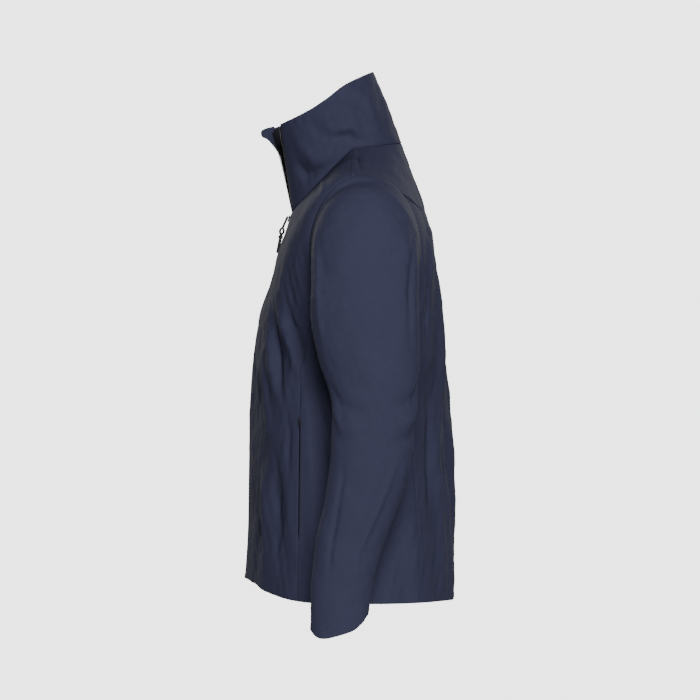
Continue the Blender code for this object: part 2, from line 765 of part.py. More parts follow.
SLEEVE_ROWS = [0.0, 0.03, 0.06, 0.10, 0.15, 0.21, 0.29, 0.38, 0.48, 0.60, 0.72, 0.86, 1.0]


def sleeve_half(name, mirrored, first, depth, thickness, finish, origin, rows, columns=6):
    """Half of the sleeve round from `first`, between its front and back seams."""
    made = []
    for u in rows:
        line = []
        for k in range(columns + 1):
            turn = first + 180 * k / columns
            if k in (0, columns):
                girth = (sleeve(turn + 0.5, u) - sleeve(turn - 0.5, u)).length
                turn += (1 if k == 0 else -1) * RIDGE_GAP / 2 / girth
            point = below(sleeve, turn, u, depth)
            point.x = max(point.x, SLEEVE_START)
            line.append(point)
        made.append(line)
    sheet(name, made, thickness, finish, mirrored, origin=origin)


def sleeve_tube(name, mirrored, depth, thickness, rows, finish, origin, columns=12):
    made = []
    for u in rows:
        line = [below(sleeve, 360 * k / columns, u, depth) for k in range(columns)]
        for point in line:
            point.x = max(point.x, SLEEVE_START)
        made.append(line)
    sheet(name, made, thickness, finish, mirrored, wrap=True, origin=origin)


def make_sleeves():
    for side, mirrored in both_sides():
        shoulder = Vector((-ARMHOLE_PLANE if mirrored else ARMHOLE_PLANE, SLEEVE_AXIS_Y, ARMHOLE_Z))
        sleeve_half(f"{side}_upper_sleeve", mirrored, 0, 0.0, SHELL, shell_fabric(), shoulder, SLEEVE_ROWS)
        sleeve_half(f"{side}_under_sleeve", mirrored, 180, 0.0, SHELL, shell_fabric(), shoulder, SLEEVE_ROWS)
        rows = [u for u in SLEEVE_ROWS if 0.02 < u < CUFF_FACING_FROM] + [CUFF_FACING_FROM - 0.01]
        sleeve_tube(f"{side}_sleeve_lining", mirrored, 0.0042, LINING, rows, lining_fabric(), shoulder)
        sleeve_tube(f"{side}_cuff_facing", mirrored, FACING_DEPTH, LINING, (CUFF_FACING_FROM, 0.965, 0.99),
                    shell_fabric(), shoulder)


def main():
    for old in list(bpy.data.objects):
        bpy.data.objects.remove(old, do_unlink=True)
    make_panels()
    make_linings()
    make_hem_facing()
    make_armhole_tapes()
    make_collar()
    make_chin_guard()
    make_hanger_loop()
    make_front_zip()
    make_front_slider()
    make_front_pull()
    make_pockets()
    make_sleeves()


main()
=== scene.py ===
"""Foul weather jacket: the finished cloth, zips and trims over the jointed frame.

Metres, +Z up. The front faces -Y and the wearer's left is +X. The body, the collar and each sleeve are
smooth surfaces given by a few rings. Every sheet of cloth is a patch of one of them, some depth below
its outside, and all of them share the same folds.
"""

import math

import bpy
import numpy as np
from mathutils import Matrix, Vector


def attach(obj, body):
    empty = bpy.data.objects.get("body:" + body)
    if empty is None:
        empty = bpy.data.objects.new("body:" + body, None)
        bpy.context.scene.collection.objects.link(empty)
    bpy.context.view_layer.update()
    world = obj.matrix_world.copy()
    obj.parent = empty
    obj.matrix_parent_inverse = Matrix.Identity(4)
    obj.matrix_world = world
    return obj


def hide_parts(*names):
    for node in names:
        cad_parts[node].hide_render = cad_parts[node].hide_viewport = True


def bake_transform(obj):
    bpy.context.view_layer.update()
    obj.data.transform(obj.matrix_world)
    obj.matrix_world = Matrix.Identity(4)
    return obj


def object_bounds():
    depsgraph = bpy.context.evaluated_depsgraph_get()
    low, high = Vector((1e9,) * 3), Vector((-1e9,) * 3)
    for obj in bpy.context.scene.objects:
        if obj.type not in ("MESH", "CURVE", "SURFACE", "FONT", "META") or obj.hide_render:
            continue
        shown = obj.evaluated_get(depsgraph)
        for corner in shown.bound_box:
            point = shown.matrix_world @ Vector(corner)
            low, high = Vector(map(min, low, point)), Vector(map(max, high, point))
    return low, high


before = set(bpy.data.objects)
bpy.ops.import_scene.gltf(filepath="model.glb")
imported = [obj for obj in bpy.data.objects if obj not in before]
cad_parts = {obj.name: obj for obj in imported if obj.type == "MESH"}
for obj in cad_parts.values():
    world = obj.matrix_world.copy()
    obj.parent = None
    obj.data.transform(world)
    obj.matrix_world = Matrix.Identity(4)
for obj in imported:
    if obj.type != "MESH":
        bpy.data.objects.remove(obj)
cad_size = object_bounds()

# --- The garment's surfaces ---------------------------------------------------------------------

SHELL = 0.0012
LINING = 0.0008
LINING_DEPTH = 0.0062
FACING_DEPTH = 0.0024

ARMHOLE_Y = -0.042
ARMHOLE_Z = -0.150
ARMHOLE_HALF_DEPTH = 0.076
ARMHOLE_HALF_HEIGHT = 0.102
ARMHOLE_EASE = 0.0042       # the body's cut edge stands this far outside the sleeve's head
SLEEVE_START = 0.2020
FRONT_SEAM_JOINS_AT = -0.215
BACK_SEAM_JOINS_AT = -0.200
FRONT_FAR, BACK_FAR = 12.0, 168.0       # angles well past the armhole and the side seams

NECK_Z = -0.094
NECK_Y = -0.149
ZIP_SLOPE = 0.297
BUST_Z = -0.222

PANEL_EDGE = 0.0058
POCKET_TOP_Z = -0.388
POCKET_BOTTOM_Z = -0.566
MOUTH_END = 0.012
POCKET_SEAM_CLEARANCE = 0.0028

# Share of the way down, half width, y of the widest point, height at the front, side and back,
# squareness of the front and of the back, and how late the ring rises or falls towards its ends.
BODY_RINGS = (
    (0.00, 0.070, -0.060, -0.094, -0.003, 0.006, 2.0, 2.0, 1.05),
    (0.06, 0.135, -0.063, -0.130, -0.026, -0.045, 2.2, 2.5, 1.4),
    (0.13, 0.197, -0.064, -0.165, -0.053, -0.105, 2.5, 3.2, 1.8),
    (0.22, 0.196, -0.062, -0.215, -0.140, -0.165, 2.5, 3.6, 1.8),
    (0.35, 0.187, -0.062, -0.277, -0.262, -0.262, 2.25, 3.0, 2.0),
    (0.46, 0.182, -0.062, -0.345, -0.345, -0.345, 2.25, 2.5, 3.0),
    (0.60, 0.185, -0.062, -0.432, -0.435, -0.435, 2.25, 2.35, 3.0),
    (0.80, 0.191, -0.062, -0.535, -0.545, -0.545, 2.25, 2.3, 3.0),
    (1.00, 0.197, -0.062, -0.625, -0.657, -0.654, 2.25, 2.3, 3.2),
)
FRONT_PROFILE = (
    (-0.240, -0.1923),
    (-0.277, -0.2000),
    (-0.330, -0.2062),
    (-0.381, -0.2090),
    (-0.470, -0.2108),
    (-0.555, -0.2122),
    (-0.625, -0.2165),
)
BACK_PROFILE = (
    (0.006, 0.0110),
    (-0.019, 0.0190),
    (-0.045, 0.0290),
    (-0.080, 0.0405),
    (-0.120, 0.0505),
    (-0.190, 0.0610),
    (-0.277, 0.0705),
    (-0.364, 0.0750),
    (-0.451, 0.0800),
    (-0.555, 0.0855),
    (-0.660, 0.0890),
)
FRONT_SEAM = (
    (-0.215, -0.1006),
    (-0.260, -0.1230),
    (-0.320, -0.1350),
    (-0.388, -0.1362),
    (-0.566, -0.1380),
    (-0.660, -0.1385),
)
BACK_SEAM = (
    (-0.200, 0.0242),
    (-0.320, 0.0215),
    (-0.447, 0.0246),
    (-0.554, 0.0330),
    (-0.660, 0.0355),
)
COLLAR_TOP = (
    (-0.190, 0.0255),
    (-0.170, 0.0310),
    (-0.126, 0.0510),
    (-0.097, 0.0696),
    (-0.0725, 0.0885),
    (-0.0305, 0.1100),
)
COLLAR_RINGS = (
    (0.0, 0.070, -0.1490, -0.0600, 0.0110, 0.0000),
    (0.5, 0.073, -0.1600, -0.0700, -0.0080, 0.0140),
    (1.0, 0.074, -0.1760, -0.0900, -0.0305, 0.0300),
)
RIGHT_WING_REACH = 0.012
SLEEVE_RINGS = (
    (0.00, 0.2020, -0.252, 0.2020, -0.048, -0.0420, 0.0760, 0.0),
    (0.05, 0.2045, -0.258, 0.2270, -0.060, -0.0420, 0.0765, 0.0),
    (0.11, 0.2070, -0.266, 0.2475, -0.087, -0.0425, 0.0770, 0.0),
    (0.18, 0.2090, -0.278, 0.2640, -0.128, -0.0425, 0.0770, 0.0),
    (0.27, 0.2110, -0.300, 0.2755, -0.190, -0.0425, 0.0765, 0.0),
    (0.38, 0.2140, -0.335, 0.2810, -0.270, -0.0370, 0.0715, 0.0),
    (0.49, 0.2170, -0.385, 0.2850, -0.355, -0.0305, 0.0600, 0.0),
    (0.66, 0.2230, -0.480, 0.2870, -0.470, -0.0385, 0.0570, 0.0),
    (0.83, 0.2280, -0.590, 0.2870, -0.588, -0.0690, 0.0475, 0.0),
    (1.00, 0.2330, -0.679, 0.2860, -0.679, -0.0790, 0.0415, 0.0185),
)
CUFF_TILT = 0.28
SIDE = 90.0
SIDES = (("left", False), ("right", True))


def stacked(*parts):
    """An array of points from arrays or numbers for x, y and z."""
    return np.stack(np.broadcast_arrays(*parts), axis=-1)


def unit(vectors):
    return vectors / np.maximum(np.linalg.norm(vectors, axis=-1, keepdims=True), 1e-12)


def spline(rows, at):
    """The columns of values at these keys on smooth curves through the rows, each (key, value, ...)."""
    table = np.array(sorted(rows))
    keys, values = table[:, 0], table[:, 1:]
    slopes = np.empty_like(values)
    slopes[1:-1] = (values[2:] - values[:-2]) / (keys[2:] - keys[:-2])[:, None]
    slopes[0] = (values[1] - values[0]) / (keys[1] - keys[0])
    slopes[-1] = (values[-1] - values[-2]) / (keys[-1] - keys[-2])
    at = np.clip(np.asarray(at, float), keys[0], keys[-1])
    k = np.clip(np.searchsorted(keys, at, side="right") - 1, 0, len(keys) - 2)
    span = (keys[k + 1] - keys[k])[..., None]
    t = (at - keys[k])[..., None] / span
    rise = values[k + 1] - values[k]
    first, second = slopes[k] * span, slopes[k + 1] * span
    curve = (first + second - 2 * rise) * t**3 + (3 * rise - 2 * first - second) * t**2 + first * t
    return np.moveaxis(values[k] + curve, -1, 0)


def ramp(value, low, high):
    """0 below low, 1 above high and smooth between."""
    t = np.clip((value - low) / (high - low), 0, 1)
    return t * t * (3 - 2 * t)


def front_y(z):
    straight = NECK_Y + ZIP_SLOPE * (z - NECK_Z)
    profile = ((BUST_Z, NECK_Y + ZIP_SLOPE * (BUST_Z - NECK_Z)),) + FRONT_PROFILE
    return np.where(z >= BUST_Z, straight, spline(profile, z)[0])


def body(angle, down):
    """Points of the shell: 0 degrees is centre front, 90 the left side, 180 centre back."""
    half, side_y, front_z, side_z, back_z, front_square, back_square, late = spline(BODY_RINGS, down)
    turn = np.radians(angle)
    ahead = np.cos(turn) > 0
    end_z = np.where(ahead, front_z, back_z)
    end_y = np.where(ahead, front_y(front_z), spline(BACK_PROFILE, back_z)[0])
    power = 2 / np.where(ahead, front_square, back_square)
    x = half * np.sign(np.sin(turn)) * np.abs(np.sin(turn)) ** power
    reach = np.abs(np.cos(turn)) ** power
    return stacked(x, side_y + (end_y - side_y) * reach, side_z + (end_z - side_z) * reach**late)


def collar(angle, up):
    """Points of the collar's outside: angles as on the body, and 0 at the neckline to 1 at the top."""
    half, ahead, side_y, back, _ = spline(COLLAR_RINGS, up)
    turn = np.radians(angle)
    front = np.cos(turn) > 0
    ahead = ahead - RIGHT_WING_REACH * up * ((np.sin(turn) < 0) & front)
    y = side_y + (np.where(front, ahead, back) - side_y) * np.abs(np.cos(turn))
    low, top = body(angle, 0.0)[..., 2], spline(COLLAR_TOP, y)[0]
    return stacked(half * np.sin(turn), y, low + (top - low) * up)


def sleeve(round_, down):
    """Points of the left sleeve: 0 degrees is its front, 90 its outside, 180 its back, 270 the body side."""
    inner_x, inner_z, outer_x, outer_z, mid_y, half, droop = spline(SLEEVE_RINGS, down)
    turn = np.radians(round_)
    side = (1 + np.sin(turn)) / 2
    y = mid_y - half * np.cos(turn)
    z = inner_z + (outer_z - inner_z) * side - droop * np.where(np.sin(turn) > 0, 1 - np.cos(turn) ** 4, 0.0)
    z = z + CUFF_TILT * (y - mid_y) * np.clip(down - 0.8, 0, None) / 0.2
    return stacked(inner_x + (outer_x - inner_x) * side, y, z)


def outward(surface, a, b):
    low, high = np.clip(np.asarray(b) - 0.002, 0, 1), np.clip(np.asarray(b) + 0.002, 0, 1)
    across = surface(a + 0.5, b) - surface(a - 0.5, b)
    along = surface(a, high) - surface(a, low)
    return unit(np.cross(across, along) if surface is collar else np.cross(along, across))


def bisect(test, inside, outside, steps=36):
    """The places between the two where the test stops being true."""
    inside, outside = np.broadcast_arrays(inside, outside)
    for _ in range(steps):
        middle = (inside + outside) / 2
        true = test(middle)
        inside, outside = np.where(true, middle, inside), np.where(true, outside, middle)
    return outside


def armhole_place(point, clearance):
    """Where a point is from the armhole's centre as seen from the side, in shares of the way to its edge."""
    y = (point[..., 1] - ARMHOLE_Y) / (ARMHOLE_HALF_DEPTH + clearance)
    return y, (point[..., 2] - ARMHOLE_Z) / (ARMHOLE_HALF_HEIGHT + clearance)


def armhole_reach(point, clearance=0.0):
    """How far from the armhole's centre a point is, with 1 on its edge."""
    return np.hypot(*armhole_place(point, clearance))


def shoulder_tip(clearance):
    return float(bisect(lambda v: armhole_reach(body(SIDE, v), clearance) > 1, 0.05, 0.22))


def armhole_bottom(clearance):
    return float(bisect(lambda v: armhole_reach(body(SIDE, v), clearance) < 1, 0.22, 0.45))


def panel_edge(seam, joins_at, far, down, clearance):
    """The angle where a panel ends: the shoulder seam, then the armhole, then its side seam."""
    way = 1 if far < SIDE else -1

    def past(angle):
        point = body(angle, down)
        over = way * (point[..., 1] - spline(seam, point[..., 2])[0]) > 0
        return (point[..., 2] < joins_at) & over | (armhole_reach(point, clearance) < 1)

    side = np.full(np.shape(down), SIDE)
    return np.where(past(side), bisect(past, side, far), side)


def front_edge(down, clearance):
    return panel_edge(FRONT_SEAM, FRONT_SEAM_JOINS_AT, FRONT_FAR, down, clearance)


def back_edge(down, clearance):
    return panel_edge(BACK_SEAM, BACK_SEAM_JOINS_AT, BACK_FAR, down, clearance)


def ring_step(surface, angle, at):
    """Metres for each degree round a ring."""
    return np.linalg.norm(surface(angle + 0.5, at) - surface(angle - 0.5, at), axis=-1)


def angle_at_x(down, x):
    columns = spline(BODY_RINGS, down)
    return np.degrees(np.arcsin((x / columns[0]) ** (columns[5] / 2)))


def collar_angle_at_x(up, x):
    columns = spline(COLLAR_RINGS, up)
    return np.degrees(np.arcsin((x + columns[4]) / columns[0]))


# --- Folds --------------------------------------------------------------------------------------

def waves(points, size, seed, stretch=(1, 1, 1), count=9):
    """A smooth random field from -1 to 1, with features of about this size, longer along stretch."""
    random = np.random.default_rng(seed)
    total = 0.0
    for _ in range(count):
        direction = random.normal(size=3)
        direction *= 2 * math.pi / size / np.linalg.norm(direction) / np.array(stretch)
        total = total + np.sin(points @ direction + random.uniform(0, 2 * math.pi))
    return total / count**0.5 / 1.4


def fold(across, height, line, width, rise):
    """A soft ridge, or a crease where rise is negative, along a line of (across, height) points."""
    nearest, share = np.full(np.shape(across), 9.0), np.zeros(np.shape(across))
    lengths = [math.dist(p, q) for p, q in zip(line, line[1:])]
    walked = 0.0
    for (a0, h0), (a1, h1), length in zip(line, line[1:], lengths):
        along = ((across - a0) * (a1 - a0) + (height - h0) * (h1 - h0)) / length**2
        along = np.clip(along, 0, 1)
        away = np.hypot(across - a0 - along * (a1 - a0), height - h0 - along * (h1 - h0))
        closer = away < nearest
        share = np.where(closer, (walked + along * length) / sum(lengths), share)
        nearest = np.where(closer, away, nearest)
        walked += length
    ends = np.clip(np.sin(math.pi * np.clip(share, 0.02, 0.98)), 0, 1) ** 0.7
    return rise * ends * np.exp(-((nearest / width) ** 2))


FOLD_DEPTH = 2.2
SLEEVE_DEPTH = 1.5

# Each fold as seen from its side: points (y, height), half width, and how far it stands out.
LEFT_FOLDS = (
    (((-0.186, -0.225), (-0.176, -0.300), (-0.167, -0.365)), 0.008, 0.0030),
    (((-0.176, -0.235), (-0.167, -0.300), (-0.160, -0.360)), 0.006, -0.0026),
    (((-0.193, -0.280), (-0.184, -0.350), (-0.175, -0.425)), 0.009, 0.0026),
    (((-0.203, -0.280), (-0.203, -0.350), (-0.202, -0.430)), 0.009, -0.0020),
    (((-0.172, -0.235), (-0.147, -0.289), (-0.137, -0.335)), 0.008, 0.0030),
    (((-0.160, -0.232), (-0.139, -0.280), (-0.131, -0.330)), 0.007, -0.0024),
    (((-0.151, -0.392), (-0.150, -0.430), (-0.152, -0.480)), 0.007, -0.0020),
    (((-0.190, -0.450), (-0.186, -0.540), (-0.190, -0.620)), 0.014, 0.0030),
    (((-0.172, -0.440), (-0.168, -0.530), (-0.170, -0.610)), 0.010, -0.0024),
    (((-0.120, -0.300), (-0.105, -0.400), (-0.100, -0.560)), 0.014, -0.0035),
    (((-0.085, -0.320), (-0.070, -0.430), (-0.066, -0.600)), 0.016, 0.0030),
    (((-0.020, -0.300), (-0.010, -0.430), (-0.004, -0.620)), 0.016, -0.0028),
    (((0.033, -0.120), (0.036, -0.150), (0.045, -0.190)), 0.006, -0.0030),
    (((0.040, -0.110), (0.050, -0.160), (0.054, -0.210)), 0.008, 0.0026),
    (((0.046, -0.200), (0.048, -0.235), (0.044, -0.290)), 0.007, -0.0024),
    (((0.062, -0.230), (0.066, -0.340), (0.060, -0.450)), 0.012, 0.0030),
    (((0.046, -0.330), (0.052, -0.430), (0.050, -0.560)), 0.010, -0.0024),
    (((0.066, -0.450), (0.072, -0.540), (0.078, -0.640)), 0.012, -0.0022),
    (((-0.062, 0.002), (-0.052, -0.015), (-0.044, -0.040)), 0.006, -0.0018),
    (((-0.118, -0.052), (-0.100, -0.066), (-0.090, -0.090)), 0.010, 0.0024),
)
RIGHT_FOLDS = (
    (((-0.184, -0.230), (-0.170, -0.310), (-0.160, -0.390)), 0.009, 0.0030),
    (((-0.172, -0.240), (-0.158, -0.310), (-0.150, -0.370)), 0.007, -0.0026),
    (((-0.196, -0.300), (-0.190, -0.400), (-0.184, -0.500)), 0.010, 0.0026),
    (((-0.204, -0.270), (-0.200, -0.370), (-0.198, -0.470)), 0.009, -0.0018),
    (((-0.168, -0.232), (-0.146, -0.290), (-0.138, -0.350)), 0.008, 0.0026),
    (((-0.176, -0.430), (-0.170, -0.530), (-0.176, -0.620)), 0.011, -0.0024),
    (((-0.194, -0.480), (-0.188, -0.560), (-0.192, -0.625)), 0.013, 0.0028),
    (((-0.112, -0.310), (-0.100, -0.420), (-0.104, -0.580)), 0.015, -0.0034),
    (((-0.074, -0.320), (-0.066, -0.450), (-0.058, -0.610)), 0.016, 0.0030),
    (((-0.012, -0.310), (-0.006, -0.440), (0.002, -0.620)), 0.016, -0.0026),
    (((0.034, -0.125), (0.040, -0.170), (0.050, -0.215)), 0.007, -0.0028),
    (((0.058, -0.210), (0.064, -0.330), (0.062, -0.470)), 0.012, 0.0028),
    (((0.048, -0.350), (0.050, -0.450), (0.054, -0.590)), 0.010, -0.0024),
)
# The same for the back, as seen from behind: points (x, height).
BACK_FOLDS = (
    (((-0.110, -0.100), (-0.092, -0.220), (-0.084, -0.360)), 0.013, 0.0034),
    (((0.104, -0.105), (0.092, -0.230), (0.078, -0.350)), 0.013, 0.0032),
    (((-0.080, -0.240), (-0.062, -0.380), (-0.058, -0.600)), 0.014, -0.0034),
    (((0.070, -0.220), (0.060, -0.370), (0.050, -0.590)), 0.014, -0.0034),
    (((-0.030, -0.300), (-0.022, -0.450), (-0.026, -0.640)), 0.015, 0.0034),
    (((0.022, -0.320), (0.026, -0.470), (0.018, -0.640)), 0.014, 0.0030),
    (((-0.004, -0.120), (0.000, -0.240), (0.002, -0.400)), 0.016, -0.0022),
    (((-0.118, -0.400), (-0.112, -0.520), (-0.106, -0.640)), 0.015, 0.0030),
    (((0.112, -0.390), (0.104, -0.520), (0.100, -0.640)), 0.015, 0.0030),
)
COLLAR_FOLDS = (
    (((-0.164, 0.010), (-0.147, -0.022), (-0.126, -0.042), (-0.092, -0.030)), 0.008, -0.0044),
    (((-0.156, 0.020), (-0.136, -0.004), (-0.112, -0.020), (-0.086, -0.014)), 0.011, 0.0034),
    (((-0.050, 0.004), (-0.066, 0.016), (-0.092, 0.012)), 0.006, -0.0022),
    (((-0.040, 0.014), (-0.060, 0.026), (-0.090, 0.022)), 0.007, 0.0022),
    (((-0.036, 0.020), (-0.052, 0.050), (-0.078, 0.060)), 0.008, -0.0024),
    (((-0.028, 0.034), (-0.040, 0.064), (-0.060, 0.086)), 0.009, 0.0024),
    (((-0.120, 0.040), (-0.108, 0.020), (-0.090, 0.006)), 0.009, -0.0018),
)
# The left sleeve from its outside, and in its own terms: points (degrees round / 400, height).
SLEEVE_FOLDS = (
    (((0.02, -0.340), (0.10, -0.372), (0.20, -0.384)), 0.009, -0.0022),
    (((0.02, -0.372), (0.10, -0.402), (0.19, -0.410)), 0.010, 0.0022),
    (((0.46, -0.330), (0.40, -0.362), (0.31, -0.372)), 0.009, -0.0026),
    (((0.47, -0.366), (0.40, -0.392), (0.30, -0.398)), 0.009, 0.0024),
    (((0.46, -0.400), (0.39, -0.420), (0.30, -0.420)), 0.008, -0.0020),
    (((0.06, -0.120), (0.07, -0.200), (0.06, -0.290)), 0.016, 0.0020),
    (((0.40, -0.110), (0.37, -0.190), (0.36, -0.280)), 0.014, -0.0022),
    (((0.33, -0.440), (0.30, -0.520), (0.27, -0.600)), 0.014, 0.0020),
    (((0.12, -0.450), (0.14, -0.540), (0.16, -0.620)), 0.013, -0.0018),
    (((0.60, -0.300), (0.68, -0.340), (0.78, -0.352)), 0.012, -0.0030),
    (((0.58, -0.345), (0.68, -0.385), (0.80, -0.395)), 0.012, 0.0024),
)


def relief(point, normal):
    """How far the body's and the collar's cloth stands out from its smooth surface."""
    x, y, z = np.moveaxis(point, -1, 0)
    from_side = np.maximum(np.abs(normal[..., 0]), 0.3)
    from_behind = np.maximum(np.abs(normal[..., 1]), 0.3)
    total = np.zeros(np.shape(x))
    on_collar = ramp(z - (-0.003 + 0.9 * np.minimum(y + 0.06, 0.0)), -0.004, 0.006)
    for folds, side in ((LEFT_FOLDS, 1), (RIGHT_FOLDS, -1)):
        here = ramp(side * x, 0.02, 0.05) * (1 - on_collar)
        for line, width, rise in folds:
            middle = line[len(line) // 2][0]
            away = middle + (y - middle) / from_side
            bent = [(middle + (p - middle) / 0.8, h) for p, h in line]
            total += here * fold(away, z, bent, width, rise)
    for line, width, rise in BACK_FOLDS:
        total += ramp(y, -0.01, 0.03) * (1 - on_collar) * fold(x / from_behind**0.3, z, line, width, rise)
    for line, width, rise in COLLAR_FOLDS:
        total += ramp(np.abs(x), 0.01, 0.03) * fold(y, z, line, width, rise)
    low = ramp(-z, 0.20, 0.62)
    total += (0.0004 + 0.0016 * low) * waves(point, 0.085, 3, (1, 1, 4.5))
    total += 0.0007 * waves(point, 0.034, 5, (1, 1, 2.6)) + 0.0003 * waves(point, 0.013, 8, (1, 1, 1.6))
    keep = ramp(np.where(y < -0.10, np.abs(x) - 0.4 * np.clip(z - NECK_Z, 0, 0.08), 1.0), 0.006, 0.030)
    keep = keep * ramp(armhole_reach(point) - 1, 0.0, 0.16)
    seam = np.abs(y - spline(FRONT_SEAM, z)[0]) / from_side
    beside = (z < POCKET_TOP_Z + 0.02) & (z > POCKET_BOTTOM_Z - 0.02)
    keep = keep * np.where(beside, 0.25 + 0.75 * ramp(seam, 0.004, 0.022), 1.0)
    return np.clip(FOLD_DEPTH * total * keep * (1 - 0.4 * on_collar), -0.0095, 0.0095)


def sleeve_relief(round_, down):
    """How far the left sleeve's cloth stands out from its smooth surface."""
    point = sleeve(round_, down)
    total = np.zeros(np.shape(point[..., 0]))
    for line, width, rise in SLEEVE_FOLDS:
        for turn in (0, 360):
            total += fold((round_ + turn) / 400, point[..., 2], line, width, rise)
    total += 0.0009 * waves(point, 0.095, 11, (1, 1, 2.5)) + 0.0005 * waves(point, 0.040, 13, (1, 1, 1.4))
    total += 0.00025 * waves(point, 0.014, 17)
    return SLEEVE_DEPTH * total * ramp(np.asarray(down), 0.0, 0.08)


# --- Materials ----------------------------------------------------------------------------------

def put(node, values):
    """Sets a node's inputs by their names."""
    for socket, value in values.items():
        node.inputs[socket].default_value = value


def finish(name, colour, roughness, grain, bump, vary, gloss=0.5, metallic=0.0, sheen=0.0, weave=None):
    """A material: its colour varies softly, and fine grain or weave stands in its bump."""
    made = bpy.data.materials.new(name)
    made.use_nodes = True
    nodes, links = made.node_tree.nodes, made.node_tree.links
    shader = nodes["Principled BSDF"]
    put(shader, {"Base Color": (*colour, 1), "Roughness": roughness, "Metallic": metallic,
                 "Specular IOR Level": gloss, "Sheen Weight": sheen, "Sheen Roughness": 0.45,
                 "Sheen Tint": (0.62, 0.70, 1.0, 1)})
    coords = nodes.new("ShaderNodeTexCoord")
    cloud = nodes.new("ShaderNodeTexNoise")
    put(cloud, {"Scale": grain / 3, "Detail": 6, "Roughness": 0.7})
    mix = nodes.new("ShaderNodeMix")
    mix.data_type = "RGBA"
    put(mix, {"A": (*[c * (1 - vary) for c in colour], 1), "B": (*[c * (1 + vary) for c in colour], 1)})
    links.new(coords.outputs["Object"], cloud.inputs["Vector"])
    links.new(cloud.outputs["Fac"], mix.inputs["Factor"])
    links.new(mix.outputs["Result"], shader.inputs["Base Color"])
    if weave:
        height = nodes.new("ShaderNodeMath")
        height.operation = "MAXIMUM"
        for socket, direction in zip(height.inputs, ("X", "Z")):
            threads = nodes.new("ShaderNodeTexWave")
            threads.bands_direction = direction
            put(threads, {"Scale": weave, "Distortion": 0.6, "Detail": 1})
            links.new(coords.outputs["Object"], threads.inputs["Vector"])
            links.new(threads.outputs["Fac"], socket)
    else:
        height = nodes.new("ShaderNodeTexNoise")
        put(height, {"Scale": grain, "Detail": 4})
        links.new(coords.outputs["Object"], height.inputs["Vector"])
    raised = nodes.new("ShaderNodeBump")
    put(raised, {"Strength": bump, "Distance": 0.0004})
    links.new(height.outputs["Value" if weave else "Fac"], raised.inputs["Height"])
    links.new(raised.outputs["Normal"], shader.inputs["Normal"])
    return made


SHELL_CLOTH = finish("navy softshell", (0.0150, 0.0156, 0.0298), 0.78, 420, 0.35, 0.14, gloss=0.03)
LINING_CLOTH = finish("navy lining", (0.010, 0.012, 0.025), 0.78, 300, 0.3, 0.12, gloss=0.2, sheen=0.03,
                      weave=260)
FLEECE = finish("navy fleece", (0.010, 0.012, 0.024), 0.95, 900, 0.9, 0.3, gloss=0.1, sheen=0.08)
TAPE = finish("woven tape", (0.0055, 0.0060, 0.0085), 0.85, 600, 0.6, 0.25, gloss=0.15, weave=420)
PLASTIC = finish("zip plastic", (0.004, 0.004, 0.0045), 0.38, 800, 0.05, 0.1, gloss=0.3)
METAL = finish("coated metal", (0.005, 0.005, 0.0055), 0.45, 700, 0.06, 0.2, gloss=0.2, metallic=0.3)
RUBBER = finish("pull rubber", (0.004, 0.004, 0.0045), 0.62, 900, 0.2, 0.15, gloss=0.2)
CORD = finish("braided cord", (0.004, 0.004, 0.0045), 0.9, 1500, 0.9, 0.3, gloss=0.15)
PALE_FLOOR = finish("pale floor", (0.9, 0.9, 0.9), 0.9, 40, 0.02, 0.01)


# --- Meshes -------------------------------------------------------------------------------------

def mesh_object(name, points, faces, material, sharp=55):
    mesh = bpy.data.meshes.new(name)
    mesh.from_pydata([tuple(map(float, p)) for p in points], [], [tuple(map(int, f)) for f in faces])
    mesh.materials.append(material)
    mesh.shade_smooth()
    mesh.set_sharp_from_angle(angle=math.radians(sharp))
    made = bpy.data.objects.new(name, mesh)
    bpy.context.scene.collection.objects.link(made)
    return made


def place(piece, node, on="root"):
    """Hides the node a piece stands for, and lets the piece ride on its body."""
    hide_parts(node)
    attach(piece, on)


def slab(name, outer, inner, material, wrap=False, mirrored=False):
    """One closed sheet between two grids of points."""
    if mirrored:
        outer = outer[:, ::-1] * np.array((-1, 1, 1))
        inner = inner[:, ::-1] * np.array((-1, 1, 1))
    rows, width = outer.shape[:2]
    count = rows * width
    index = np.arange(count).reshape(rows, width)
    if wrap:
        index = np.concatenate([index, index[:, :1]], axis=1)
    a, b, c, d = index[:-1, :-1], index[1:, :-1], index[1:, 1:], index[:-1, 1:]
    out = np.stack([a, b, c, d], -1).reshape(-1, 4)
    faces = [out, out[:, ::-1] + count]
    rims = [index[0, ::-1], index[-1]]
    if not wrap:
        rims += [index[:, 0], index[::-1, -1]]
    for rim in rims:
        faces.append(np.stack([rim[:-1], rim[:-1] + count, rim[1:] + count, rim[1:]], -1))
    points = np.concatenate([outer.reshape(-1, 3), inner.reshape(-1, 3)])
    return mesh_object(name, points, np.concatenate(faces), material)


EDGE = ((0.0, 0.0008), (0.0005, 0.00035), (0.0013, 0.0001))   # from a sewn edge inwards, and how far it sinks
EDGE_BAND = 0.0028


def ring_columns(surface, first, last, at, count):
    """Angles from first to last on each ring, with the close columns of a sewn edge at both ends."""
    first, last, at = (np.asarray(v, float)[:, None] for v in np.broadcast_arrays(first, last, at))
    head, tail = ring_step(surface, first, at), ring_step(surface, last, at)
    close = np.array([reach for reach, _ in EDGE])[None, :]
    start, end = EDGE_BAND / head, EDGE_BAND / tail
    inner = first + start + (last - first - start - end) * np.linspace(0, 1, count)
    return np.concatenate([first + close / head, inner, last - close[:, ::-1] / tail], axis=1)


def edge_dips(rows, columns):
    """How far each point of a panel sinks towards its sewn edges."""
    sink = [drop for _, drop in EDGE]
    down, across = np.zeros(rows), np.zeros(columns)
    for line in (down, across):
        line[:3], line[-3:] = sink, sink[::-1]
    return np.maximum(down[:, None], across[None, :])


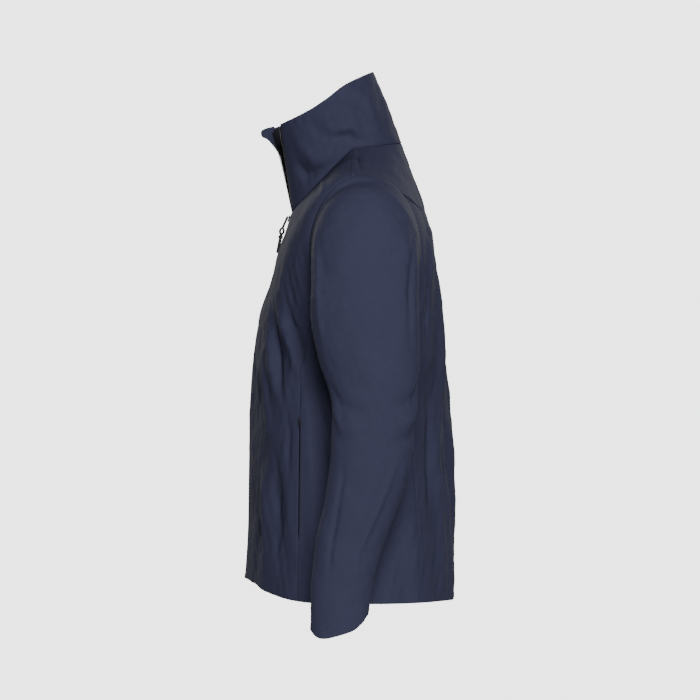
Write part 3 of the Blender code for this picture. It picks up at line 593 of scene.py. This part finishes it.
def edged_rows(top, bottom, middle, scale):
    """Rows from top to bottom with the close rows of a sewn edge at both ends; scale is metres each."""
    close = np.array([reach for reach, _ in EDGE]) / scale
    inner = [v for v in middle if top + 0.003 / scale < v < bottom - 0.003 / scale]
    return np.concatenate([top + close, inner, (bottom - close)[::-1]])


def body_rows(top, bottom, clearance, fine=1.0):
    tip, pit = shoulder_tip(clearance), armhole_bottom(clearance)
    count = int(36 * fine)
    beside = tip + (pit - tip) * (1 - np.cos(np.pi * np.arange(count + 1) / count)) / 2
    above = np.linspace(top, tip, int(16 * fine))[:-1]
    below = np.linspace(pit, bottom, int(64 * fine))[1:]
    return edged_rows(top, bottom, np.concatenate([above, beside, below]), 0.66)


def cloth(name, surface, angles, at, depth, thickness, material, mirrored=False, sunk=0.0):
    """A sheet on the body or the collar, with its side's folds, which fade at the neck and the armhole."""
    flip = np.array((-1, 1, 1)) if mirrored else 1
    at = np.broadcast_to(at if at.ndim == 2 else at[:, None], angles.shape)
    points, normals = surface(angles, at), outward(surface, angles, at)
    if mirrored and surface is collar:
        points, normals = surface(360 - angles, at) * flip, outward(surface, 360 - angles, at) * flip
    lift = relief(points * flip, normals * flip) * ramp(at, 0.0, 0.16 if surface is collar else 0.035)
    inside = 1 - ramp(np.abs(points[..., 0]), 0.110, 0.135)
    beside = np.maximum(inside, ramp(armhole_reach(points), 1.03, 1.30))
    lift = (lift * beside * off_the_pocket(points))[..., None]
    outer = points + normals * (lift - depth - sunk * edge_dips(*angles.shape)[..., None])
    inner = points + normals * (lift - depth - thickness)
    return slab(name, outer, inner, material, mirrored=mirrored)


def off_the_pocket(points):
    """0 on the pocket's zip, which keeps the cloth beside it smooth, and 1 away from it."""
    top, along = pocket[:2]
    offset = points * np.where(points[..., :1] < 0, (-1, 1, 1), 1) - top
    run = np.clip((offset * along).sum(-1), 0, POCKET_TOP_Z - POCKET_BOTTOM_Z)
    return ramp(np.linalg.norm(offset - run[..., None] * along, axis=-1), 0.003, 0.022)


def side_grid(clearance, top_rows, bottom, count, gap):
    """Angles and rows of the side panel, whose top edge is the lower part of the armhole."""
    def above_seam(down):
        return body(front_edge(down, clearance), down)[..., 2] > FRONT_SEAM_JOINS_AT

    share = np.linspace(0, 1, count)
    share = np.concatenate([[0, 0.004, 0.011], share[1:-1], [0.989, 0.996, 1]])

    def at(share, down):
        first, last = front_edge(down, clearance), back_edge(down, clearance)
        first = first + seam_gap(first, down, gap) / ring_step(body, first, down)
        last = last - gap / ring_step(body, last, down)
        return first + (last - first) * share

    def in_armhole(down):
        return armhole_reach(body(at(share, down), down), clearance) < 1

    join = float(bisect(above_seam, 0.15, 0.34))
    tops = bisect(in_armhole, np.full(share.shape, join), 0.42) + 0.001
    rows = edged_rows(0.0, 1.0, np.linspace(0, 1, top_rows), 0.42)[:, None]
    down = tops[None, :] + (bottom - tops[None, :]) * rows
    return at(np.broadcast_to(share[None, :], down.shape), down), down


def seam_gap(angle, down, gap):
    """Half the gap of the front seam: closed, and parted a little over the pocket's zip."""
    z = body(angle, down)[..., 2]
    mouth = ramp(z, POCKET_BOTTOM_Z, POCKET_BOTTOM_Z + MOUTH_END)
    mouth = mouth * (1 - ramp(z, POCKET_TOP_Z - MOUTH_END, POCKET_TOP_Z))
    return gap + 0.0009 * mouth


def make_body():
    gap = 0.00006
    clearance = ARMHOLE_EASE
    rows = body_rows(0.0004, 0.998, clearance)
    edge = back_edge(rows, clearance)
    edge = edge + gap / ring_step(body, edge, rows)
    angles = ring_columns(body, edge, 360 - edge, rows, 170)
    sew(cloth("back", body, angles, rows, 0.0, SHELL, SHELL_CLOTH, sunk=1), "back_panel")
    edge = front_edge(rows, clearance)
    edge = edge - seam_gap(edge, rows, gap) / ring_step(body, edge, rows)
    first = angle_at_x(rows, PANEL_EDGE)
    angles = ring_columns(body, first, edge, rows, 92)
    side_angles, side_down = side_grid(clearance, 84, 0.998, 60, gap)
    for side, mirrored in SIDES:
        sew(cloth(f"{side}_front", body, angles, rows, 0.0, SHELL, SHELL_CLOTH, mirrored, 1),
            f"{side}_front_panel")
        sew(cloth(f"{side}_flank", body, side_angles, side_down, 0.0, SHELL, SHELL_CLOTH, mirrored, 1),
            f"{side}_side_panel")


def sew(piece, node, on="root"):
    """Lets a sheet stand for its node, whose part it hides, and ride on its body."""
    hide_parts(node)
    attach(piece, on)


def make_linings():
    clearance, depth = 0.0085, LINING_DEPTH
    rows = body_rows(0.008, 0.95, clearance, 0.6)
    edge = back_edge(rows, clearance)
    edge = edge + 0.0001 / ring_step(body, edge, rows)
    angles = ring_columns(body, edge, 360 - edge, rows, 90)
    sew(cloth("back_lining_cloth", body, angles, rows, depth, LINING, LINING_CLOTH), "back_lining")
    first = angle_at_x(rows, 0.0200)
    edge = front_edge(rows, clearance)
    edge = edge - 0.0001 / ring_step(body, edge, rows)
    angles = ring_columns(body, first, edge, rows, 48)
    side_angles, side_down = side_grid(clearance, 48, 0.95, 30, 0.0001)
    for side, mirrored in SIDES:
        sew(cloth(f"{side}_front_lining_cloth", body, angles, rows, depth, LINING, LINING_CLOTH, mirrored),
            f"{side}_front_lining")
        sew(cloth(f"{side}_side_lining_cloth", body, side_angles, side_down, depth, LINING,
                  LINING_CLOTH, mirrored), f"{side}_side_lining")


def make_hem():
    """The facing inside the hem."""
    rows = np.linspace(0.957, 0.9975, 10)
    first = angle_at_x(rows, 0.018)
    angles = first[:, None] + (360 - 2 * first[:, None]) * np.linspace(0, 1, 260)
    sew(cloth("hem_facing_cloth", body, angles, rows, FACING_DEPTH, LINING, SHELL_CLOTH), "hem_facing")


def make_seam_tapes():
    """The sealing tapes behind the neck seam and the shoulder seams."""
    turns = np.linspace(14, 346, 180)
    grids = []
    for thick in (0.0, 0.0005):
        rows = []
        for surface, at, depth in ((collar, 0.075, 0.0020), (collar, 0.03, 0.0016), (collar, 0.0, 0.0014),
                                   (body, 0.0, 0.0014), (body, 0.006, 0.0018), (body, 0.016, 0.0024)):
            at = np.full(turns.shape, at)
            rows.append(surface(turns, at) - outward(surface, turns, at) * (depth + thick))
        grids.append(np.array(rows))
    pieces = [slab("neck_seam_tape", grids[0], grids[1], SHELL_CLOTH)]
    rows = np.linspace(0.004, shoulder_tip(ARMHOLE_EASE) + 0.004, 40)
    angles = 90 + np.linspace(-0.006, 0.006, 7)[None, :] / ring_step(body, 90, rows)[:, None]
    for side, mirrored in SIDES:
        pieces.append(cloth(f"{side}_shoulder_tape", body, angles, rows, 0.0016, 0.0005, SHELL_CLOTH,
                            mirrored))
    for piece in pieces:
        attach(piece, "root")


def make_flap():
    rows = np.linspace(0.012, 0.985, 90)
    first = angle_at_x(rows, 0.018)
    angles = first[:, None] * np.linspace(-1, 1, 25)
    sew(cloth("storm_flap_cloth", body, angles, rows, 0.0052, 0.0010, SHELL_CLOTH), "storm_flap")


# --- Collar -------------------------------------------------------------------------------------

def make_collar():
    rows = edged_rows(0.001, 1.0, np.linspace(0, 1, 44), 0.115)[::-1]
    first = collar_angle_at_x(rows, PANEL_EDGE)
    angles = ring_columns(collar, first, 360 - first, rows, 200)
    sew(cloth("collar_outside", collar, angles, rows, 0.0, SHELL, SHELL_CLOTH, sunk=1), "collar_shell")
    rows = edged_rows(0.02, 0.992, np.linspace(0, 1, 36), 0.115)[::-1]
    first = collar_angle_at_x(rows, 0.018)
    angles = ring_columns(collar, first, 360 - first, rows, 150)
    sew(cloth("collar_inside", collar, angles, rows, 0.0030, 0.0010, FLEECE, sunk=0.6), "collar_lining")


def rounded_bar(name, stations, material, around=20, square=2.6):
    """A closed bar through stations of (centre, half across, half thick) with rounded sections and ends."""
    turns = np.linspace(0, 2 * np.pi, around, endpoint=False)
    cosine, sine = np.cos(turns), np.sin(turns)
    u = np.sign(cosine) * np.abs(cosine) ** (2 / square)
    v = np.sign(sine) * np.abs(sine) ** (2 / square)
    rings = [np.array(centre) + u[:, None] * np.array(across) + v[:, None] * np.array(thick)
             for centre, across, thick in stations]
    points = np.concatenate(rings + [np.array([stations[0][0], stations[-1][0]])])
    faces = []
    for k in range(len(stations) - 1):
        for j in range(around):
            n = (j + 1) % around
            faces.append((k * around + j, k * around + n, (k + 1) * around + n, (k + 1) * around + j))
    low, high = len(points) - 2, len(points) - 1
    last = (len(stations) - 1) * around
    caps = [(low, (j + 1) % around, j) for j in range(around)]
    caps += [(high, last + j, last + (j + 1) % around) for j in range(around)]
    made = mesh_object(name, points, faces + caps, material, 70)
    direction = np.array(stations[-1][0]) - np.array(stations[0][0])
    if np.dot(np.cross(stations[0][1], stations[0][2]), direction) < 0:
        made.data.flip_normals()
    return made


def pill(name, start, end, across, thick, material, taper=1.0, rounding=0.25, square=2.6):
    """A rounded bar from start to end, whose ends are domed over this share of its length."""
    start, end, across, thick = (np.array(v, float) for v in (start, end, across, thick))
    stations = []
    for t in 0.5 - 0.5 * np.cos(np.pi * np.linspace(0, 1, 14)):
        near = min(t, 1 - t) / rounding
        size = math.sqrt(max(1 - (1 - min(near, 1)) ** 2, 0.0))
        size = max(size, 0.06) * (1 + (taper - 1) * t)
        stations.append((start + (end - start) * t, across * size, thick * size))
    return rounded_bar(name, stations, material, square=square)


CHIN_GUARD_SHAPE = (            # height up its span, how far it stands ahead of the wing's edge
    (0.0, 0.0006),
    (0.30, 0.0056),
    (0.56, 0.0118),
    (0.66, 0.0156),
    (0.70, 0.0192),
    (0.80, 0.0204),
    (0.97, 0.0196),
    (1.04, 0.0172),
    (1.08, 0.0100),
)


def make_chin_guard():
    """The fold over the top of the right wing's edge, where the slider parks. It tapers off down the zip."""
    edge = [collar(360 - collar_angle_at_x(u, PANEL_EDGE), u) for u in (0.64, 0.992)]
    side = unit(np.cross(edge[1] - edge[0], (0.0, -1.0, 0.0)))
    heights, reaches = np.array(CHIN_GUARD_SHAPE).T
    stations = []
    for t in heights[-1] * (0.5 - 0.5 * np.cos(np.pi * np.linspace(0, 1, 40))):
        reach = float(np.interp(t, heights, reaches))
        ahead = np.array((0.0, -1.0, -0.22 * ramp(t, 0.55, 1.0)))
        centre = edge[0] + (edge[1] - edge[0]) * t + ahead * (reach / 2 - 0.0016)
        thin = math.sqrt(max(1 - (1 - min((heights[-1] - t) / 0.08, 1)) ** 2, 0.02))
        thin *= 0.35 + 0.65 * min(t / 0.5, 1)
        stations.append((centre, ahead * (reach / 2 + 0.0006), side * 0.0021 * thin))
    piece = rounded_bar("chin_guard_fold", stations, SHELL_CLOTH, 32, 3.0)
    place(piece, "chin_guard")


def make_hanger_loop():
    """A flat tape sewn into the neck seam at both ends, straight in the middle over the hook."""
    half, tall = 0.0006, 0.008
    xs = np.linspace(-0.0275, 0.0275, 70)
    back = 0.0018 * ramp(np.abs(xs), 0.014, 0.0275)
    rows = []
    for z, pinch in ((tall, 0.00025), (tall - 0.0006, 0.0), (0.0006, 0.0), (0.0, 0.00025)):
        rows.append(np.stack([xs, back - half + pinch, np.full(xs.shape, z)], -1))
    outer = np.array(rows)
    inner = outer.copy()
    inner[..., 1] += 2 * half - 2 * np.array([0.00025, 0, 0, 0.00025])[:, None]
    piece = slab("hanger_tape", outer, inner, TAPE)
    place(piece, "hanger_loop")


# --- Front zip ----------------------------------------------------------------------------------

DOWN = unit(np.array((0.0, -ZIP_SLOPE, -1.0)))
OUT = unit(np.array((0.0, -1.0, ZIP_SLOPE)))
ACROSS = np.array((1.0, 0.0, 0.0))


def along_zip(distance, proud):
    return np.array((0.0, NECK_Y, NECK_Z)) + DOWN * distance + OUT * proud


def closing_line(at, x, depth, mirrored):
    """A point beside the closing line, with the wings' cloth above 0 and the body's below."""
    surface = collar if at > 0 else body
    angle = collar_angle_at_x(at, x) if at > 0 else angle_at_x(-at, x)
    angle = 360 - angle if mirrored else angle
    return surface(angle, abs(at)) - outward(surface, angle, abs(at)) * depth


def zip_heights(top, bottom, pitch):
    """Places along the closing line at this pitch, from the wing's top to the hem."""
    fine = np.concatenate([np.linspace(top, 0.004, 200), -np.linspace(0.004, bottom, 900)])
    line = np.array([closing_line(a, 0.0035, 0.0, False) for a in fine])
    walked = np.concatenate([[0], np.cumsum(np.linalg.norm(np.diff(line, axis=0), axis=1))])
    return np.interp(np.arange(0, walked[-1], pitch), walked, fine)


def make_zip_tapes():
    heights = zip_heights(0.975, 0.9965, 0.006)
    tape = np.linspace(0.0034, 0.016, 5)
    for side, mirrored in SIDES:
        grids = []
        for depth in (0.0019, 0.0025):
            grid = [[closing_line(a, x, depth, mirrored) for x in tape] for a in heights]
            grids.append(np.array(grid)[:, ::-1] if mirrored else np.array(grid))
        piece = slab(f"{side}_zip_tape", grids[0], grids[1], TAPE)
        place(piece, f"front_zip_tape_{side}")


def boxes(name, places, material, bevel=0.00022):
    """Many small blocks as one piece, each place (centre, half x, half y, half z) as vectors."""
    points, faces = [], []
    corners = [(i, j, k) for i in (-1, 1) for j in (-1, 1) for k in (-1, 1)]
    sides = ((0, 1, 3, 2), (4, 6, 7, 5), (0, 4, 5, 1), (2, 3, 7, 6), (0, 2, 6, 4), (1, 5, 7, 3))
    for centre, a, b, c in places:
        start = len(points)
        points += [centre + a * i + b * j + c * k for i, j, k in corners]
        turn = 1 if np.dot(np.cross(a, b), c) > 0 else -1
        faces += [tuple(start + n for n in side[::turn]) for side in sides]
    made = mesh_object(name, points, faces, material, 40)
    rounding = made.modifiers.new("rounding", "BEVEL")
    rounding.width = bevel
    rounding.segments = 1
    bpy.context.view_layer.objects.active = made
    with bpy.context.temp_override(object=made, active_object=made, selected_objects=[made]):
        bpy.ops.object.modifier_apply(modifier=rounding.name)
    return made


def make_teeth():
    """Two rows of moulded teeth, which interlock on the body and stand apart on the collar's wings."""
    pitch = 0.0026
    for side, mirrored in SIDES:
        heights = zip_heights(0.95, 0.967, pitch)
        places = []
        for k, a in enumerate(heights[:-1]):
            a = a + (heights[k + 1] - a) * (0.5 if mirrored else 0.0)
            if -0.004 < a < 0.004:
                continue
            root, tip = closing_line(a, 0.0034, 0.0018, mirrored), closing_line(a, 0.0007, 0.0018, mirrored)
            near = closing_line(a - 0.003, 0.0034, 0.0018, mirrored)
            run = unit(near - root)
            side_way = unit(tip - root)
            face = np.cross(run, side_way)
            middle = (root + tip) / 2
            reach = np.linalg.norm(tip - root) / 2
            places.append((middle, side_way * reach, run * 0.00072, face * 0.0011))
            places.append((root + side_way * reach * 1.55, side_way * 0.0007, run * 0.00098, face * 0.00085))
        piece = boxes(f"{side}_zip_teeth", places, PLASTIC)
        place(piece, f"front_zip_teeth_{side}")
    for name, node, mirrored, low_x, high_x, thick in (
            ("zip_box", "front_zip_retainer_box", False, 0.0002, 0.0034, 0.0018),
            ("zip_pin", "front_zip_insertion_pin", True, 0.0004, 0.0026, 0.0012)):
        ends = [closing_line(a, (low_x + high_x) / 2, 0.0018, mirrored) for a in (-0.970, -0.9965)]
        run = unit(ends[1] - ends[0])
        face = outward(body, np.array(0.0), np.array(0.97))
        across = np.cross(face, run) * (high_x - low_x) / 2
        piece = pill(name, ends[0], ends[1], across, face * thick, PLASTIC, rounding=0.08, square=5)
        place(piece, node)


def turned(degrees):
    """Down the zip, turned outwards from the chest."""
    return DOWN * math.cos(math.radians(degrees)) + OUT * math.sin(math.radians(degrees))


def joined(name, parts):
    """Several closed shells as one object."""
    bpy.ops.object.select_all(action="DESELECT")
    for part in parts:
        part.select_set(True)
    bpy.context.view_layer.objects.active = parts[0]
    bpy.ops.object.join()
    parts[0].name = name
    return parts[0]


def make_slider_and_pull():
    parts = []
    for name, proud, thick in (("plate", 0.0009, 0.0011), ("under", -0.0041, 0.0007)):
        start, end = along_zip(0.0045, proud), along_zip(0.0150, proud)
        parts.append(pill(name, start, end, ACROSS * 0.0041, OUT * thick, METAL, taper=0.78, rounding=0.2,
                          square=3.2))
    bridge = []
    for t in np.linspace(0, 1, 18):
        centre = along_zip(0.0062 + 0.0062 * t, 0.0015 + 0.0029 * math.sin(math.pi * t) ** 0.6)
        bridge.append((centre, ACROSS * 0.0010, OUT * 0.0005))
    parts.append(rounded_bar("bridge", bridge, METAL, 14))
    slider = joined("zip_slider", parts)
    place(slider, "front_slider", "front_slider")

    top, tab = along_zip(0.0092, 0.0038), turned(7.0)
    face = unit(np.cross(tab, ACROSS))
    ring = []
    for turn in np.linspace(0, 2 * math.pi, 40, endpoint=False):
        ring.append(top + tab * (0.0080 - 0.0086 * math.cos(turn)) + ACROSS * 0.0015 * math.sin(turn))
    pull = tube_ring("zip_tab", ring, 0.0017, METAL)
    web = pill("web", top + tab * 0.0035, top + tab * 0.0130, ACROSS * 0.0015, face * 0.0012, METAL,
               rounding=0.15)
    pull = joined("zip_pull_tab", [pull, web])
    place(pull, "front_pull_tab", "front_pull_tab")

    hinge, hang = top + tab * 0.0165, turned(-4.5)
    out = unit(np.cross(hang, ACROSS))
    start = hinge + hang * 0.0005
    loop = []
    for k in range(36):
        turn = 2 * math.pi * k / 36
        loop.append(start + hang * (0.0040 - 0.0042 * math.cos(turn)) + out * 0.0027 * math.sin(turn)
                    + ACROSS * 0.0003 * math.sin(6 * turn))
    cord = tube_ring("pull_cord_loop", loop, 0.0016, CORD)
    place(cord, "front_pull_loop", "front_pull_cord")
    head = start + hang * 0.0090
    bead = pill("pull_bead", head, head + hang * 0.0072, ACROSS * 0.0031, out * 0.0033, RUBBER, rounding=0.4,
                square=2.2)
    place(bead, "front_pull_bead", "front_pull_cord")
    head = head + hang * 0.0070
    stations = []
    for t in np.linspace(0, 1, 60):
        end = math.sqrt(max(1 - max((t - 0.9) / 0.1, 0) ** 2, 0.01))
        rib = 1 - 0.06 * (math.sin(34 * t) > 0) * (0.12 < t < 0.85)
        size = (1 - 0.15 * t) * end * rib
        stations.append((head + hang * 0.0205 * t, ACROSS * 0.0022 * size, out * 0.0024 * size))
    grip = rounded_bar("pull_grip", stations, RUBBER, 18, 2.4)
    place(grip, "front_pull_grip", "front_pull_cord")


def tube_ring(name, centres, radius, material, around=12):
    """A closed round tube through these centres."""
    centres = np.array(centres)
    run = unit(np.roll(centres, -1, axis=0) - np.roll(centres, 1, axis=0))
    normal = unit(np.cross(run[0], run[len(run) // 4]))
    points, faces = [], []
    count = len(centres)
    for centre, direction in zip(centres, run):
        side = unit(np.cross(direction, normal))
        for j in range(around):
            turn = 2 * math.pi * j / around
            spoke = side * math.cos(turn) + np.cross(direction, side) * math.sin(turn)
            points.append(centre + spoke * radius)
    for k in range(count):
        for j in range(around):
            n, m = (j + 1) % around, (k + 1) % count
            faces.append((k * around + j, k * around + n, m * around + n, m * around + j))
    return mesh_object(name, points, faces, material, 80)


# --- Pockets ------------------------------------------------------------------------------------

def seam_down(height):
    """How far down the body the front seam passes this height."""
    rows = np.linspace(0.35, 0.97, 600)
    heights = body(front_edge(rows, POCKET_SEAM_CLEARANCE), rows)[..., 2]
    return float(np.interp(-height, -heights, rows))


def seam_strip(name, mirrored, ahead, behind, depth, thickness, top, bottom, material, count, columns=5):
    rows = np.linspace(seam_down(top), seam_down(bottom), count)
    edge = front_edge(rows, POCKET_SEAM_CLEARANCE)
    step = ring_step(body, edge, rows)
    first, last = edge - ahead / step, edge + behind / step
    angles = first[:, None] + (last - first)[:, None] * np.linspace(0, 1, columns)
    return cloth(name, body, angles, rows, depth, thickness, material, mirrored)


def pocket_line():
    ends = []
    for height in (POCKET_TOP_Z, POCKET_BOTTOM_Z):
        v = seam_down(height)
        ends.append((float(front_edge(np.array(v), POCKET_SEAM_CLEARANCE)), v))
    top, bottom = (body(np.array(a), np.array(v)) for a, v in ends)
    middle = (np.array((ends[0][0] + ends[1][0]) / 2), np.array((ends[0][1] + ends[1][1]) / 2))
    out = outward(body, *middle)
    along = unit(bottom - top)
    out = unit(out - along * np.dot(out, along))
    return top, along, out, unit(np.cross(out, along))


def make_pockets():
    top, along, out, across = pocket
    for side, mirrored in SIDES:
        face = np.array((-1, 1, 1)) if mirrored else 1
        rows = np.linspace(seam_down(POCKET_TOP_Z), seam_down(POCKET_BOTTOM_Z), 148)
        angles = front_edge(rows, POCKET_SEAM_CLEARANCE)
        centres = (body(angles, rows) - outward(body, angles, rows) * 0.0022) * face
        coil = []
        for k, centre in enumerate(centres[1:-1]):
            shift = across * (0.0003 if k % 2 else -0.0003) * face
            half = across * 0.00125 * face, along * 0.00036 * face, out * 0.0004 * face
            coil.append((centre + shift, *half))
        piece = boxes(f"{side}_pocket_coil", coil, PLASTIC, 0.0001)
        place(piece, f"{side}_pocket_zip_coil")
        piece = seam_strip(f"{side}_pocket_tape", mirrored, 0.009, 0.009, 0.0028, 0.0005,
                           POCKET_TOP_Z + 0.006, POCKET_BOTTOM_Z - 0.006, TAPE, 50)
        place(piece, f"{side}_pocket_zip_tape")
        piece = seam_strip(f"{side}_pocket_bag_cloth", mirrored, 0.115, -0.0102, 0.0024, 0.0014,
                           POCKET_TOP_Z + 0.012, POCKET_BOTTOM_Z - 0.030, LINING_CLOTH, 60, 40)
        sew(piece, f"{side}_pocket_bag")
        low, high = top + along * 0.0015, top + along * 0.0090
        piece = pill(f"{side}_pocket_runner", (low - out * 0.0002) * face, (high - out * 0.0002) * face,
                     across * 0.0016 * face, out * 0.0009 * face, METAL, taper=0.85, rounding=0.22, square=3)
        place(piece, f"{side}_pocket_slider", f"{side}_pocket_slider")
        hinge = low + along * 0.0020 + out * 0.0014
        ring = []
        for turn in np.linspace(0, 2 * math.pi, 28, endpoint=False):
            reach = along * (0.0060 - 0.0060 * math.cos(turn)) + across * 0.0011 * math.sin(turn)
            ring.append((hinge + reach) * face)
        loop = tube_ring(f"{side}_pocket_ring", ring, 0.00034, METAL)
        start, end = (hinge + along * 0.0035) * face, (hinge + along * 0.0118) * face
        web = pill("web", start, end, across * 0.0010 * face, out * 0.00028 * face, METAL, rounding=0.15)
        piece = joined(f"{side}_pocket_tab", [loop, web])
        place(piece, f"{side}_pocket_pull", f"{side}_pocket_pull")


# --- Sleeves ------------------------------------------------------------------------------------

def armhole_edge(turns, clearance):
    """Points of the body on the armhole's edge, at these turns about its centre, and their normals."""
    rows = np.linspace(shoulder_tip(clearance) + 0.0005, armhole_bottom(clearance) - 0.0005, 400)
    found = []
    for far in (FRONT_FAR, BACK_FAR):
        angle = bisect(lambda a: armhole_reach(body(a, rows), clearance) < 1, np.full(rows.shape, 90.0), far)
        point = body(angle, rows)
        y, z = armhole_place(point, clearance)
        turn = np.degrees(np.arctan2(z, y)) % 360
        found.append(np.concatenate([turn[:, None], point, outward(body, angle, rows)], axis=1))
    found = np.concatenate(found)
    found = found[np.argsort(found[:, 0])]
    columns = [np.interp(turns % 360, found[:, 0], found[:, k], period=360) for k in range(1, 7)]
    return np.stack(columns[:3], -1), unit(np.stack(columns[3:], -1))


SHOULDER_FALL = 0.0055


def sleeve_grids(depth, thickness, rows, columns, inset, sunk, ease=0.0):
    """The sleeve's outside and inside, from the armhole down to the cuff, and its outside without folds."""
    round_ = 360 * np.arange(columns) / columns
    turns = 180 - round_
    y, z = np.cos(np.radians(turns)), np.sin(np.radians(turns))
    edge, edge_normal = armhole_edge(turns, inset)
    flange, flange_normal = armhole_edge(turns, inset + 0.004)
    x_edge = edge[:, 0] - sunk * 0.6
    grids = []
    for extra, folds in ((0.0, 1.0), (thickness, 1.0), (0.0, 0.0)):
        small = depth + extra
        head = [flange - flange_normal * (sunk + extra), edge - edge_normal * (sunk + extra)]
        for t in (0.04, 0.1, 0.2, 0.35, 0.5, 0.65, 0.8, 0.92):
            start = x_edge + (SLEEVE_START + 0.0005 - x_edge) * t
            puff = 0.0014 * math.sin(math.pi * min(t * 1.1, 1.0))
            radius = 1 - small / 0.085 + (puff + ease * (1 - t) ** 2) / 0.085
            slump = SHOULDER_FALL * t * t * np.clip(z, 0, 1) ** 2
            head.append(stacked(start, ARMHOLE_Y + ARMHOLE_HALF_DEPTH * radius * y,
                                ARMHOLE_Z + ARMHOLE_HALF_HEIGHT * radius * z - slump))
        at = np.broadcast_to(rows[:, None], (len(rows), columns))
        around = np.broadcast_to(round_[None, :], at.shape)
        point, normal = sleeve(around, at), outward(sleeve, around, at)
        lift = folds * sleeve_relief(around, at)
        pinch = 0.0009 * (rows[:, None] > 0.999) * (extra == 0.0)
        tube = point + normal * (lift - small - pinch)[..., None]
        low_x = SLEEVE_START + 0.0006 + 0.004 * np.clip(rows / 0.05, 0, 1)[:, None]
        tube[..., 0] = np.maximum(tube[..., 0], np.where(rows[:, None] < 0.04, low_x, -1.0))
        tube[..., 2] -= SHOULDER_FALL * (1 - ramp(rows, 0.02, 0.17))[:, None] * np.clip(z, 0, 1) ** 2
        grids.append(np.concatenate([np.array(head), tube]))
    return grids


def make_sleeves():
    head, hem = np.linspace(0, 0.12, 22)[:-1], [0.991, 0.996, 0.9985, 1.0]
    rows = np.concatenate([head, np.linspace(0.12, 0.985, 110), hem])
    shell = sleeve_grids(0.0, SHELL, rows, 150, ARMHOLE_EASE - 0.0004, 0.0014, ARMHOLE_EASE - 0.0004)
    lining = sleeve_grids(0.0042, LINING, rows[rows < 0.935][::2], 90, -0.006, 0.0075)
    facing_rows = np.linspace(0.945, 0.9985, 12)
    around = np.broadcast_to(360 * np.arange(120) / 120, (12, 120))
    at = np.broadcast_to(facing_rows[:, None], around.shape)
    point, normal = sleeve(around, at), outward(sleeve, around, at)
    lift = sleeve_relief(around, at)
    facing = [point + normal * (lift - FACING_DEPTH - t)[..., None] for t in (0.0, LINING)]
    for side, mirrored in SIDES:
        for name, grids, fabric, nodes in (
                ("sleeve_shell", shell, SHELL_CLOTH, ("upper_sleeve", "under_sleeve", "armhole_tape")),
                ("sleeve_inside", lining, LINING_CLOTH, ("sleeve_lining",))):
            outer, inner, smooth = grids
            piece = slab(f"{side}_{name}", outer, inner, fabric, wrap=True, mirrored=mirrored)
            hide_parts(*[f"{side}_{node}" for node in nodes])
            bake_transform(piece)
        piece = slab(f"{side}_cuff_inside", *facing, SHELL_CLOTH, wrap=True, mirrored=mirrored)
        sew(piece, f"{side}_cuff_facing", f"{side}_sleeve")


# --- The studio ---------------------------------------------------------------------------------

SKY_FOR_LIGHT = 0.27
SKY_SEEN = 3.4
FLOOR_DROP = 0.16
VIEW_HEIGHT = 1.015         # metres of the picture's height where the jacket hangs
VIEW_MIDDLE = (-0.064, -0.2935)
LENS = 400
SENSOR = 36
LAMPS = (                   # name, place, size, power, the point it faces
    ("key", (3.0, 0.30, 0.8), 1.2, 265, (0.1, -0.06, -0.30)),
    ("front", (-3.0, -2.4, 0.9), 1.6, 115, (0.0, -0.1, -0.25)),
    ("behind", (-3.1, 2.2, 0.9), 1.6, 95, (0.0, 0.0, -0.30)),
)


def make_sky():
    """An even white sky that lights softly, and is seen as bright as a studio's backdrop."""
    world = bpy.context.scene.world or bpy.data.worlds.new("studio")
    bpy.context.scene.world = world
    world.use_nodes = True
    nodes, links = world.node_tree.nodes, world.node_tree.links
    either = nodes.new("ShaderNodeMixShader")
    backgrounds = nodes["Background"], nodes.new("ShaderNodeBackground")
    for background, strength, socket in zip(backgrounds, (SKY_FOR_LIGHT, SKY_SEEN), (1, 2)):
        put(background, {"Color": (1.0, 1.0, 1.0, 1), "Strength": strength})
        links.new(background.outputs["Background"], either.inputs[socket])
    path = nodes.new("ShaderNodeLightPath")
    links.new(path.outputs["Is Camera Ray"], either.inputs["Fac"])
    links.new(either.outputs["Shader"], nodes["World Output"].inputs["Surface"])


def make_studio():
    make_sky()
    scene = bpy.context.scene
    floor_z = cad_size[0].z - FLOOR_DROP
    turns = np.linspace(0, 2 * np.pi, 128, endpoint=False)
    disc = np.array([[(r * math.cos(t), r * math.sin(t), floor_z) for t in turns]
                     for r in (0.75, 0.4, 0.0005)])
    floor = slab("floor", disc[::-1], disc[::-1] - np.array((0, 0, 0.01)), PALE_FLOOR, wrap=True)
    for name, where, size, power, aim in LAMPS:
        data = bpy.data.lights.new(name, "AREA")
        data.size = size
        data.energy = power
        lamp = bpy.data.objects.new(name, data)
        lamp.location = where
        lamp.rotation_mode = "QUATERNION"
        lamp.rotation_quaternion = (Vector(aim) - Vector(where)).to_track_quat("-Z", "Y")
        scene.collection.objects.link(lamp)
    data = bpy.data.cameras.new("camera")
    data.lens = LENS
    data.sensor_width = SENSOR
    data.clip_end = 100
    camera = bpy.data.objects.new("camera", data)
    camera.location = (VIEW_HEIGHT * LENS / SENSOR, *VIEW_MIDDLE)
    camera.rotation_euler = (math.radians(90), 0, math.radians(90))
    scene.collection.objects.link(camera)
    scene.camera = camera


pocket = pocket_line()
make_body()
make_linings()
make_hem()
make_seam_tapes()
make_flap()
make_collar()
make_chin_guard()
make_hanger_loop()
make_zip_tapes()
make_teeth()
make_slider_and_pull()
make_pockets()
make_sleeves()
make_studio()
